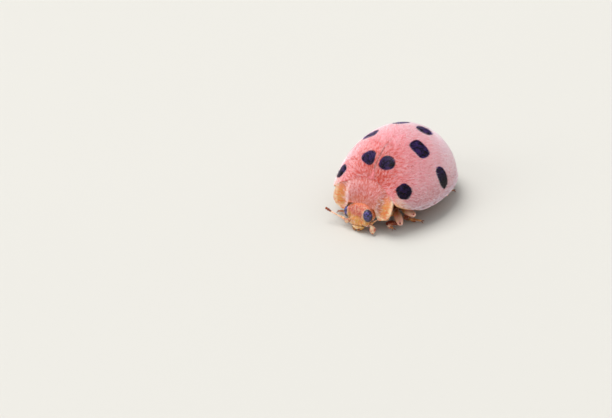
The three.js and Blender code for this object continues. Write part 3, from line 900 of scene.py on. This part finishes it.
def plain_shell(name, first, second, size=0.2, roughness=0.35, glow=0.25, pit_depth=0.006):
    """Cuticle clouded between two colours."""
    material, tree, shader = new_material(name, Roughness=roughness, Specular_IOR_Level=0.5)
    flesh_glow(shader, glow, 0.2)
    place = object_place(tree)
    base = blend(tree, ramp(tree, noise(tree, place, size, 3.0), 0.35, 0.7), first, second)
    connect(tree, shader, Base_Color=base,
            Normal=bump(tree, pits(tree, place, 0.06 * MM), pit_depth, 0.6))
    return material


def thigh_material(place, colours):
    """Peach towards the knee and amber towards the hip."""
    material, tree, shader = new_material(f"thigh {place}", Roughness=0.35, Specular_IOR_Level=0.5)
    flesh_glow(shader, 0.35, 0.2)
    spot = object_place(tree)
    hip = Vector(LEGS[place][0]) * MM
    far = node(tree, "VectorMath", {0: spot, 1: hip}, operation="DISTANCE").outputs["Value"]
    base = blend(tree, ramp(tree, far, 0.15 * MM, 0.4 * MM), colours.belly, colours.amber)
    base = blend(tree, ramp(tree, far, 0.5 * MM, 1.0 * MM), base, colours.leg)
    cloud = ramp(tree, noise(tree, spot, 0.15, 3.0), 0.4, 0.7, 0, 0.5)
    base = blend(tree, cloud, base, colours.pink)
    connect(tree, shader, Base_Color=base, Normal=bump(tree, pits(tree, spot, 0.06 * MM), 0.006, 0.6))
    return material


def belly_material(colours):
    """Brown below, and nearly black higher up under the shields: painted shade where they shut out the light.
    """
    material, tree, shader = new_material("belly", Roughness=0.42, Specular_IOR_Level=0.4)
    place = object_place(tree)
    height = node(tree, "SeparateXYZ", {"Vector": place}).outputs["Z"]
    base = blend(tree, ramp(tree, noise(tree, place, 0.4), 0.35, 0.7), colours.belly, colours.dark)
    # Nearly black higher up: painted shade under the shields.
    shade_under_shields = ramp(tree, height, 0.62 * MM, 0.95 * MM)
    connect(tree, shader, Base_Color=blend(tree, shade_under_shields, base, colours.hollow_shade),
            Normal=bump(tree, pits(tree, place, 0.07 * MM), 0.008, 0.6))
    return material


# ---------- pieces ----------

CASE_COLUMNS = 130
CASE_ROWS = 170
TIP_WALL = 0.05  # the inner face stays this far inside the very tip


def build_case(side, sizes, colours):
    depth = sizes.skin_depth / MM
    sign = SIDES[side]
    shell = bent_sheet(f"{side}_wing_case", case_with_ledge(sign, depth), CASE_COLUMNS, CASE_ROWS)
    weld(shell)
    outer = len(shell.data.vertices)
    modify(shell, "SOLIDIFY", thickness=sizes.wall / MM, offset=-1)
    spots = points_of(shell)
    spots[outer:, 1] = np.minimum(spots[outer:, 1], APEX_Y - depth - TIP_WALL)
    put_points(shell, spots)
    round_edges(shell, 0.012, 2)
    dress(shell, case_material(side, sizes, colours))
    return finish_piece(shell, "elytra", f"elytron_{side}")


# Shares of the case left bare at its edges.
BARE_SUTURE, BARE_BASE, BARE_TIP = 0.001, 0.006, 0.008
# How the down sways, in radians: size of the waves, their run along and across, and the scatter.
WAVE, WAVES_ALONG, WAVES_ACROSS, SCATTER = 0.3, 26, 9, 0.35


def case_down(side, sizes, colours, draw):
    sign = SIDES[side]
    surface = case_with_ledge(sign, sizes.skin_depth / MM)
    a, b = rows_on(surface, sizes.down_spacing / MM, draw)
    column = a if sign > 0 else 1 - a
    keep = (column > BARE_SUTURE) & (column < 1 - LEDGE_SHARE * 1.05) & (b > BARE_BASE) & (b < 1 - BARE_TIP)
    a, b, column = a[keep], b[keep], column[keep]
    root, normal, across, along = frame_on(surface, a, b)
    outward = across * sign
    swirl = 0.75 * smooth(0, 0.25, column) * (1 - smooth(0.55, 0.95, column))
    swirl = swirl + WAVE * np.sin(WAVES_ALONG * b + WAVES_ACROSS * column) * smooth(0, 0.1, column)
    swirl = swirl + SCATTER * (draw.random(len(a)) - 0.5)
    lie = along * np.cos(swirl)[:, None] + outward * np.sin(swirl)[:, None]
    length = sizes.down_length / MM * (0.75 + 0.5 * draw.random(len(a)))
    lift = 0.32 + 0.3 * draw.random(len(a))
    piece = grow_down(f"{side}_case_down", root, normal, lie, np.stack([a, b], axis=1), length,
                      sizes.hair_radius / MM, lift, down_material(f"down {side}", colours, colours.down))
    piece.data.materials.append(spot_down_material(colours))
    middles = root + unit(lie) * length[:, None] / 2
    dark = np.repeat(in_spots(side, middles), HAIR_FACES).astype(np.int32)
    piece.data.polygons.foreach_set("material_index", dark)
    return finish_piece(piece, "elytra")


def build_shield(sizes, colours):
    shell = bent_sheet("pronotum_shield", shield_face(sizes.skin_depth / MM), 120, 60)
    modify(shell, "SOLIDIFY", thickness=0.15, offset=-1)
    round_edges(shell, 0.02, 3)
    dress(shell, shield_material(colours))
    return finish_piece(shell, "pronotum", "pronotum")


def shield_down(sizes, colours, draw):
    surface = shield_face(sizes.skin_depth / MM)
    a, b = rows_on(surface, sizes.down_spacing / MM, draw)
    root, normal, across, along = frame_on(surface, a, b)
    bare = smooth(0.5, 0.8, np.abs(2 * a - 1)) * (1 - smooth(0.8, 1, b))
    keep = draw.random(len(a)) > 0.96 * bare
    a, b, root, normal, across, along = (values[keep] for values in (a, b, root, normal, across, along))
    u = 2 * a - 1
    lie = along + across * (1.2 * u)[:, None] + 0.3 * (draw.random((len(a), 3)) - 0.5)
    length = 0.13 * (0.7 + 0.6 * draw.random(len(a)))
    lift = (0.35 + 0.3 * draw.random(len(a))) * (1 - 0.7 * smooth(0.85, 1, b))
    piece = grow_down("pronotum_down", root, normal, lie, np.stack([a, b], axis=1), length,
                      sizes.hair_radius / MM, lift,
                      down_material("down pronotum", colours, colours.down))
    return finish_piece(piece, "pronotum")


# Spacing, length and radius of the bristles of each slot.
BRISTLES = {"face": (0.075, 0.075, 0.005), "limbs": (0.11, 0.08, 0.004), "underside": (0.13, 0.12, 0.004)}
BRISTLE_CLEAR = 0.11  # the legs' bristles start this far above the floor


def setae(piece, slot, lie, colours, draw, keep=None):
    """Sparse bristles over a finished piece, leaning the way given."""
    spacing, length, radius = BRISTLES[slot]
    root, normal, place = scatter_on(piece, spacing * MM, draw)
    root = root / MM
    if keep is not None:
        chosen = keep(root, normal)
        root, normal, place = root[chosen], normal[chosen], place[chosen]
    count = len(root)
    lean = np.array(lie, float) + 0.5 * (draw.random((count, 3)) - 0.5)
    name = piece.name + "_setae"
    hairs = grow_down(name, root, normal, lean, place, length * (0.6 + 0.8 * draw.random(count)), radius,
                      0.4 + 0.4 * draw.random(count), bristle_material(name, colours))
    return finish_piece(hairs, slot)


def build_head(colours):
    lumps = [
        ellipsoid("cranium", (0, -2.98, 0.82), (0.86, 0.5, 0.56)),
        ellipsoid("forehead", (0, -3.2, 0.78), (0.5, 0.3, 0.36)),
        ellipsoid("face", (0, -3.3, 0.56), (0.5, 0.28, 0.32)),
        ellipsoid("clypeus", (0, -3.46, 0.42), (0.42, 0.14, 0.14)),
    ]
    for sign in SIDES.values():
        x, y, z = EYE["centre"]
        lumps.append(ellipsoid("cheek", (0.48 * sign, -3.24, 0.46), (0.22, 0.26, 0.22)))
        lumps.append(ellipsoid("feeler_seat", (0.5 * sign, -3.42, 0.48), (0.13, 0.1, 0.1)))
        lumps.append(ellipsoid("orbit", ((x - 0.13) * sign, y + 0.04, z), np.array(EYE["radii"]) + 0.015))
    head = join("head_capsule", lumps)
    modify(head, "REMESH", mode="VOXEL", voxel_size=0.02, adaptivity=0)
    modify(head, "SMOOTH", factor=0.5, iterations=8)
    turn_head_piece(head)
    dress(head, face_material(colours))
    return finish_piece(head, "face", "head", angle=60)


def build_eye(side, colours):
    sign = SIDES[side]
    x, y, z = EYE["centre"]
    deselect()
    bpy.ops.mesh.primitive_ico_sphere_add(subdivisions=5, radius=1)
    eye = named(f"{side}_eye")
    bpy.ops.object.mode_set(mode="EDIT")
    bpy.ops.mesh.select_all(action="SELECT")
    bpy.ops.mesh.bevel(offset_type="PERCENT", offset_pct=50, affect="VERTICES")
    bpy.ops.mesh.select_all(action="SELECT")
    bpy.ops.mesh.remove_doubles(threshold=1e-4)
    bpy.ops.mesh.select_all(action="DESELECT")
    bpy.ops.mesh.select_face_by_sides(number=4, type="GREATER")
    bpy.ops.mesh.inset(thickness=0.008, depth=0.009, use_individual=True, use_even_offset=False)
    bpy.ops.object.mode_set(mode="OBJECT")
    spots = points_of(eye) * np.array(EYE["radii"]) * 0.97 + np.array([x * sign, y, z])
    put_points(eye, spots)
    turn_head_piece(eye)
    dress(eye, eye_material(side, colours))
    return finish_piece(eye, "eyes", f"eye_{side}", angle=25)


def build_mouth(colours):
    amber = plain_shell("clypeus", colours.muzzle, colours.pale, 0.12, 0.2)
    white = plain_shell("lip", colours.muzzle, colours.pale, 0.14, 0.2, 0.3)
    horn = plain_shell("jaw", colours.muzzle, colours.dark, 0.12, 0.2, 0.1)
    plate = drawn_ball("clypeus", [(-0.46, -3.38, 0.4), (0, -3.64, 0.41), (0.46, -3.38, 0.4)],
                       [0.07, 0.1, 0.07], [0.06, 0.08, 0.06], flat=(0, 1, 0.5))
    lip = drawn_ball("lip", [(-0.42, -3.4, 0.22), (0, -3.72, 0.2), (0.42, -3.4, 0.22)], [0.08, 0.12, 0.08],
                     [0.05, 0.07, 0.05], flat=(0, 1, 0.4))
    parts = [dress(plate, amber), dress(lip, white)]
    for sign in SIDES.values():
        bow = [(0.32 * sign, -3.34, 0.2), (0.28 * sign, -3.54, 0.12), (0.04 * sign, -3.6, 0.08)]
        jaw = drawn_ball("jaw", bow, [0.1, 0.09, 0.04], [0.08, 0.07, 0.03])
        parts.append(dress(jaw, horn))
        corner = ellipsoid("lip_corner", (0.33 * sign, -3.52, 0.38), (0.06, 0.05, 0.07), 20, 12)
        parts.append(dress(corner, white))
        feeler = drawn_ball("lip_palp", [(0.1 * sign, -3.46, 0.1), (0.15 * sign, -3.6, 0.05)], [0.035, 0.045],
                            [0.035, 0.045], sides=12, rings=8)
        parts.append(dress(feeler, white))
    chin = drawn_ball("chin", [(0, -3.2, 0.2), (0, -3.54, 0.1)], [0.36, 0.3, 0.2], [0.14, 0.12, 0.07])
    parts.append(dress(chin, amber))
    mouth = join("mouthparts_set", parts)
    turn_head_piece(mouth)
    return finish_piece(mouth, "face", "mouthparts", angle=60)


FEELER_SHARES = [0.15, 0.1, 0.13, 0.07, 0.07, 0.07, 0.06, 0.06, 0.09, 0.1, 0.1]
FEELER_RADII = [0.075, 0.055, 0.042, 0.038, 0.038, 0.038, 0.04, 0.042, 0.06, 0.075, 0.07]


def build_antenna(side, colours):
    yellow = plain_shell(f"feeler {side}", colours.amber, colours.leg, 0.2)
    club = plain_shell(f"club {side}", colours.dark, colours.belly, 0.1)
    path = ANTENNAE[side]
    stops = np.concatenate([[0], np.cumsum(FEELER_SHARES)]) / sum(FEELER_SHARES)
    places, _ = on_path(path, stops)
    parts = []
    for index, radius in enumerate(FEELER_RADII):
        start, stop = places[index], places[index + 1]
        overlap = (stop - start) * 0.08
        waist = 0.6 if index else 0.9
        part = drawn_ball("feeler_joint", [start - overlap, stop + overlap], [radius * waist, radius, radius],
                          [radius * waist, radius, radius], sides=14, rings=10, blunt=0.55)
        parts.append(dress(part, club if index >= 8 else yellow))
    return finish_piece(join(f"{side}_antenna", parts), "limbs", f"antenna_{side}", angle=60)


PALPS = {
    "left": [(0.48, -3.42, 0.42), (0.8, -3.36, 0.5), (0.94, -3.54, 0.12)],
    "right": [(-0.42, -3.46, 0.3), (-0.52, -3.54, 0.56), (-0.62, -3.66, 0.38)],
}
PALP_BLADES = {"left": [0.09, 0.16, 0.15, 0.08], "right": [0.08, 0.12, 0.12, 0.1]}


def build_palp(side, colours):
    pale = plain_shell(f"palp {side}", colours.pale, colours.face, 0.12, 0.4, 0.35)
    base, elbow, tip = (np.array(point) for point in PALPS[side])
    middle = (base + elbow) / 2
    blade = PALP_BLADES[side]
    parts = [
        drawn_ball("palp_base", [base, middle], [0.05, 0.06], [0.05, 0.06], sides=12, rings=8),
        drawn_ball("palp_joint", [middle, elbow], [0.05, 0.07], [0.05, 0.06], sides=12, rings=8),
        drawn_ball("palp_blade", [elbow, tip], blade, [0.05, 0.07, 0.06, 0.04], flat=(0.45, -0.8, 0.2),
                   sides=24, rings=20, blunt=0.5),
    ]
    palp = join(f"{side}_palp", [dress(part, pale) for part in parts])
    return finish_piece(palp, "limbs", f"palp_{side}", angle=60)


def build_leg(place, colours):
    thigh = thigh_material(place, colours)
    shin = plain_shell(f"shin {place}", colours.dark, colours.belly, 0.25, 0.3)
    foot = plain_shell(f"foot {place}", colours.belly, colours.amber, 0.15)
    sole = thigh if place.startswith("front") else foot
    joint = plain_shell(f"knee {place}", colours.scutellum, colours.dark, 0.1)
    claw = plain_shell(f"claw {place}", colours.belly, colours.dark, 0.1, 0.25, 0.0)
    hip, knee, ankle, toe = (np.array(point) for point in LEGS[place])
    ankle = ankle + np.array([0, 0, -0.03])
    toe = toe + np.array([0, 0, -0.03])
    end = knee + unit(knee - hip) * 0.12
    outward = toe - ankle
    outward[2] = 0
    outward = outward / np.linalg.norm(outward)
    sideways = np.cross([0, 0, 1], outward)
    inner = hip + (knee - hip) * 0.12
    seat = hip + (np.array([0, -0.3, -0.1]) if place.startswith("front") else 0)
    parts = [
        dress(drawn_ball("coxa", [seat - outward * 0.2, seat + outward * 0.14],
                         [0.24, 0.22], [0.2, 0.18]), thigh),
        dress(drawn_ball("thigh", [inner, (inner + knee) / 2 + np.array([0, 0, 0.03]), end],
                         [0.12, 0.18, 0.21, 0.2, 0.17], [0.1, 0.17, 0.19, 0.18, 0.15], sides=28, rings=24,
                         blunt=0.4), thigh),
        dress(drawn_ball("knee", [knee + outward * 0.07 + np.array([0, -0.08, 0.1]),
                                  knee + outward * 0.12 + np.array([0, -0.12, 0.05])],
                         [0.05, 0.05], [0.05, 0.05], sides=14, rings=10), joint),
        dress(drawn_ball("shin", [knee + np.array([0, 0, -0.08]), (knee + ankle) / 2, ankle],
                         [0.1, 0.13, 0.15, 0.14], [0.08, 0.1, 0.11, 0.1], sides=20, rings=20), shin),
    ]
    run = toe - ankle
    stops = [0.0, 0.34, 0.66, 0.74]
    for index in range(2):
        start, stop = ankle + run * stops[index], ankle + run * stops[index + 1]
        parts.append(dress(drawn_ball("tarsus", [start, stop], [0.08, 0.14, 0.15], [0.07, 0.08, 0.06],
                                      blunt=0.45), (shin, sole)[index]))
        pad_drop = np.array([0, 0, -0.075])
        parts.append(dress(drawn_ball("pad", [start + run * 0.08 + pad_drop, stop + run * 0.04 + pad_drop],
                                      [0.09, 0.12], [0.02, 0.025], sides=16, rings=10), sole))
    stalk = [ankle + run * 0.6, ankle + run * 0.86 + np.array([0, 0, 0.05]), toe + np.array([0, 0, 0.02])]
    parts.append(dress(drawn_ball("claw_joint", stalk,
                                  [0.05, 0.055, 0.07], [0.05, 0.05, 0.06], sides=14, rings=14), foot))
    for sign in (-1, 1):
        start = toe + np.array([0, 0, 0.02]) + sideways * 0.025 * sign
        for reach, drop in ((0.14, 0.075), (0.08, 0.07)):
            tip = start + outward * reach + sideways * sign * reach * 0.7 + np.array([0, 0, -drop])
            bend = start + outward * reach * 0.7 + sideways * sign * reach * 0.3 + np.array([0, 0, 0.03])
            parts.append(dress(drawn_ball("claw", [start, bend, tip], [0.024, 0.018, 0.005],
                                          [0.024, 0.018, 0.005], sides=10, rings=10), claw))
    leg = join(f"{place}_leg", parts)
    return finish_piece(leg, "limbs", f"leg_{place}", angle=60)


VENTER_Z = 0.5
VENTER_RISE = 0.36
BODY_INSET = 0.53
PLATE_PITCH = 0.55
CHEST_RISE = 0.2
CHEST_PINCH = 0.27


def build_trunk(colours):
    deselect()
    bpy.ops.mesh.primitive_uv_sphere_add(segments=96, ring_count=120, radius=1,
                                         rotation=(-HALF_TURN, 0, 0))
    bpy.ops.object.transform_apply(location=True, rotation=True, scale=True)
    trunk = named("trunk_core")
    ball = points_of(trunk)
    ring = np.maximum(np.hypot(ball[:, 0], ball[:, 2]), 1e-9)
    u = ball[:, 0] / ring
    s = np.clip(ball[:, 1], -1, 0.97)
    side = np.where(u < 0, -1, 1)
    upper = ball[:, 2] >= 0
    step = 1e-3
    across = case_point(np.minimum(np.abs(u) + step, 1), s) - case_point(np.maximum(np.abs(u) - step, 0), s)
    along = case_point(np.abs(u), np.minimum(s + step, 1)) - case_point(np.abs(u), np.maximum(s - step, -1))
    roof = case_point(np.abs(u), s) - unit(np.cross(across, along)) * BODY_INSET
    out = np.maximum(np.abs(u), np.abs(roof[:, 1] - WIDEST_Y) / APEX_Y)
    bow = roof[:, 1] + 0.12 * u * u
    plate = (bow - 0.1) / PLATE_PITCH
    sawtooth = np.where(bow > 0.1, (plate - np.floor(plate)) ** 1.5 * 0.05, 0)
    venter = VENTER_Z + VENTER_RISE * out ** 3 - sawtooth + CHEST_RISE * smooth(0.7, 1.8, -roof[:, 1])
    pinch = 1 - CHEST_PINCH * smooth(0.6, 1.7, -roof[:, 1])
    section = np.stack([np.maximum(roof[:, 0], 0) * side * pinch, roof[:, 1],
                        np.where(upper, roof[:, 2], venter)], axis=1)
    middle = np.stack([np.zeros(len(u)), roof[:, 1], np.full(len(u), 1.3)], axis=1)
    open_out = np.clip(ring * 4, 0, 1)[:, None]
    put_points(trunk, middle + (section - middle) * open_out)
    dress(trunk, belly_material(colours))
    return finish_piece(trunk, "underside", "thorax", "abdomen", angle=30)


def build_collar(colours):
    collar = ellipsoid("collar", (0, -2.56, 1.15), (1.42, 0.5, 0.6), 48, 28)
    dress(collar, belly_material(colours))
    return finish_piece(collar, "underside", "prosternum", angle=60)


def build_scutellum(colours):
    def surface(a, b):
        s_line = -1 + SCUTELLUM["share"] * b
        point = case_point(np.zeros(len(b)), s_line)
        u = 2 * a - 1
        point[..., 0] = u * SCUTELLUM["half"] * np.sqrt(1 - b) * (1 - 0.25 * b)
        point[..., 1] -= SCUTELLUM["lift"] * (1 - 0.4 * u * u) * (1 - 0.6 * b)
        point[..., 2] += SCUTELLUM["lift"] * (1 - u * u)
        return point
    plate = bent_sheet("scutellum_plate", surface, 24, 24)
    weld(plate)
    modify(plate, "SOLIDIFY", thickness=0.12, offset=-1)
    round_edges(plate, 0.015, 2)
    dress(plate, plain_shell("scutellum", colours.scutellum, colours.pink, 0.12))
    return finish_piece(plate, "elytra", "scutellum")


# ---------- stage ----------

VIEW_AZIMUTH, VIEW_ELEVATION, VIEW_ROLL = (math.radians(angle) for angle in (34.109, 31.531, -1.503))
VIEW_DISTANCE = 190 * MM
FRAME_WIDTH = 31.03 * MM
AIM_RIGHT = -4.53 * MM
AIM_UP = -1.77 * MM
MID_HEIGHT = 1.5 * MM
SENSOR = 36.0


def build_camera():
    back = Vector((math.sin(VIEW_AZIMUTH) * math.cos(VIEW_ELEVATION),
                   -math.cos(VIEW_AZIMUTH) * math.cos(VIEW_ELEVATION), math.sin(VIEW_ELEVATION)))
    level = Vector((math.cos(VIEW_AZIMUTH), math.sin(VIEW_AZIMUTH), 0))
    upright = back.cross(level)
    right = math.cos(VIEW_ROLL) * level + math.sin(VIEW_ROLL) * upright
    up = -math.sin(VIEW_ROLL) * level + math.cos(VIEW_ROLL) * upright
    middle = Vector((0, 0, MID_HEIGHT))
    place = middle + back * VIEW_DISTANCE
    away = (place - (middle + right * AIM_RIGHT + up * AIM_UP)).normalized()
    across = up.cross(away).normalized()
    camera = bpy.data.objects.new("Camera", bpy.data.cameras.new("Camera"))
    bpy.context.scene.collection.objects.link(camera)
    turn = Matrix((across, away.cross(across), away)).transposed()
    camera.matrix_world = Matrix.Translation(place) @ turn.to_4x4()
    camera.data.sensor_width = SENSOR
    camera.data.lens = SENSOR * VIEW_DISTANCE / FRAME_WIDTH
    camera.data.clip_start = 0.01
    camera.data.clip_end = 10
    bpy.context.scene.camera = camera


def area_light(name, place, size, energy, light_colour):
    light = bpy.data.lights.new(name, "AREA")
    light.size = size
    light.energy = energy
    light.color = light_colour
    lamp = bpy.data.objects.new(name, light)
    lamp.location = place
    lamp.rotation_euler = Vector(place).to_track_quat("Z", "Y").to_euler()
    bpy.context.scene.collection.objects.link(lamp)


FLOOR_REACH = 0.42
FLOOR_FLAT = 0.2
FLOOR_RISE = 0.075


def floor_point(a, b):
    """A flat floor that curves up softly, far round the insect, to be its own backdrop."""
    reach = FLOOR_REACH * b
    rise = FLOOR_RISE * np.clip((reach - FLOOR_FLAT) / (FLOOR_REACH - FLOOR_FLAT), 0, 1) ** 2
    angle = 2 * math.pi * a
    return np.stack([reach * np.cos(angle), reach * np.sin(angle), rise], axis=-1)


def build_stage(colours):
    floor = bent_sheet("floor", floor_point, 96, 60)
    weld(floor)
    activate(floor)
    bpy.ops.object.shade_smooth()
    material, tree, shader = new_material("floor", Roughness=0.8, Specular_IOR_Level=0.2)
    cloud = ramp(tree, noise(tree, object_place(tree), 60), 0.3, 0.7, 0, 0.05)
    connect(tree, shader, Base_Color=blend(tree, cloud, colours.floor, (0.5, 0.5, 0.48)))
    dress(floor, material)
    world = bpy.data.worlds.new("Studio")
    world.use_nodes = True
    tree = world.node_tree
    height = node(tree, "SeparateXYZ", {"Vector": node(tree, "TexCoord").outputs["Generated"]}).outputs["Z"]
    sky = blend(tree, ramp(tree, height, 0.0, 0.5), (0.66, 0.68, 0.68), (0.95, 0.98, 1.0))
    tree.links.new(sky, tree.nodes["Background"].inputs["Color"])
    tree.nodes["Background"].inputs["Strength"].default_value = 0.62
    bpy.context.scene.world = world
    area_light("Overhead", (-0.4, 0.05, 1.1), 0.8, 11.5, (1.0, 0.98, 0.96))
    area_light("Front", (-0.7, -0.9, 0.7), 0.7, 2.8, (1.0, 0.97, 0.94))
    bpy.context.scene.view_settings.view_transform = "Standard"
    build_camera()


# ---------- operators ----------

class PieceOperator:
    bl_options = {"REGISTER", "UNDO"}

    def execute(self, context):
        sizes = context.scene.ladybird_sizes
        colours = context.scene.ladybird_colours
        self.build(sizes, colours, np.random.default_rng(sizes.seed))
        return {"FINISHED"}


class LADYBIRD_OT_wing_cases(PieceOperator, bpy.types.Operator):
    """Both wing cases, with their spots and the scutellum between them"""
    bl_idname = "ladybird.wing_cases"
    bl_label = "Wing cases"

    def build(self, sizes, colours, draw):
        for side in SIDES:
            build_case(side, sizes, colours)
        build_scutellum(colours)


class LADYBIRD_OT_pronotum(PieceOperator, bpy.types.Operator):
    """The shield behind the head"""
    bl_idname = "ladybird.pronotum"
    bl_label = "Pronotum"

    def build(self, sizes, colours, draw):
        build_shield(sizes, colours)


class LADYBIRD_OT_head(PieceOperator, bpy.types.Operator):
    """Head, eyes, mouthparts, feelers and palps"""
    bl_idname = "ladybird.head"
    bl_label = "Head"

    def build(self, sizes, colours, draw):
        build_head(colours)
        build_mouth(colours)
        for side in SIDES:
            build_eye(side, colours)
            build_antenna(side, colours)
            build_palp(side, colours)


class LADYBIRD_OT_legs(PieceOperator, bpy.types.Operator):
    """Six folded legs"""
    bl_idname = "ladybird.legs"
    bl_label = "Legs"

    def build(self, sizes, colours, draw):
        for place in LEGS:
            build_leg(place, colours)


class LADYBIRD_OT_underside(PieceOperator, bpy.types.Operator):
    """Thorax and abdomen under the wing cases, and the collar under the pronotum"""
    bl_idname = "ladybird.underside"
    bl_label = "Underside"

    def build(self, sizes, colours, draw):
        build_trunk(colours)
        build_collar(colours)


class LADYBIRD_OT_down(PieceOperator, bpy.types.Operator):
    """The down on wing cases and pronotum"""
    bl_idname = "ladybird.down"
    bl_label = "Down"

    def build(self, sizes, colours, draw):
        for side in SIDES:
            case_down(side, sizes, colours, draw)
        shield_down(sizes, colours, draw)
        head = bpy.data.objects["head_capsule"]
        setae(head, "face", (0, -0.5, -1), colours, draw)
        for place in LEGS:
            leg = bpy.data.objects[f"{place}_leg"]
            setae(leg, "limbs", (SIDES[place.split("_")[1]], -0.3, -0.6), colours, draw,
                  keep=lambda root, normal: root[:, 2] > BRISTLE_CLEAR)
        trunk = bpy.data.objects["trunk_core"]
        setae(trunk, "underside", (0, 1, 0), colours, draw,
              keep=lambda root, normal: normal[:, 2] < -0.3)


class LADYBIRD_OT_stage(PieceOperator, bpy.types.Operator):
    """Floor, light and camera"""
    bl_idname = "ladybird.stage"
    bl_label = "Stage"

    def build(self, sizes, colours, draw):
        build_stage(colours)


OPERATORS = [LADYBIRD_OT_wing_cases, LADYBIRD_OT_pronotum, LADYBIRD_OT_head, LADYBIRD_OT_legs,
             LADYBIRD_OT_underside, LADYBIRD_OT_down, LADYBIRD_OT_stage]


class LADYBIRD_PT_panel(bpy.types.Panel):
    bl_idname = "LADYBIRD_PT_panel"
    bl_label = "Ladybird"
    bl_space_type = "VIEW_3D"
    bl_region_type = "UI"
    bl_category = "Ladybird"

    def draw(self, context):
        layout = self.layout
        for group in (context.scene.ladybird_sizes, context.scene.ladybird_colours):
            for setting in group.bl_rna.properties:
                if setting.identifier not in ("rna_type", "name"):
                    layout.prop(group, setting.identifier)
        for operator in OPERATORS:
            layout.operator(operator.bl_idname)


CLASSES = [LadybirdSizes, LadybirdColours, *OPERATORS, LADYBIRD_PT_panel]


def register():
    for made in CLASSES:
        bpy.utils.register_class(made)
    bpy.types.Scene.ladybird_sizes = PointerProperty(type=LadybirdSizes)
    bpy.types.Scene.ladybird_colours = PointerProperty(type=LadybirdColours)


def unregister():
    del bpy.types.Scene.ladybird_colours
    del bpy.types.Scene.ladybird_sizes
    for made in reversed(CLASSES):
        bpy.utils.unregister_class(made)


def main():
    register()
    bpy.ops.ladybird.wing_cases()
    bpy.ops.ladybird.pronotum()
    bpy.ops.ladybird.head()
    bpy.ops.ladybird.legs()
    bpy.ops.ladybird.underside()
    bpy.ops.ladybird.down()
    bpy.ops.ladybird.stage()


if __name__ == "__main__":
    main()
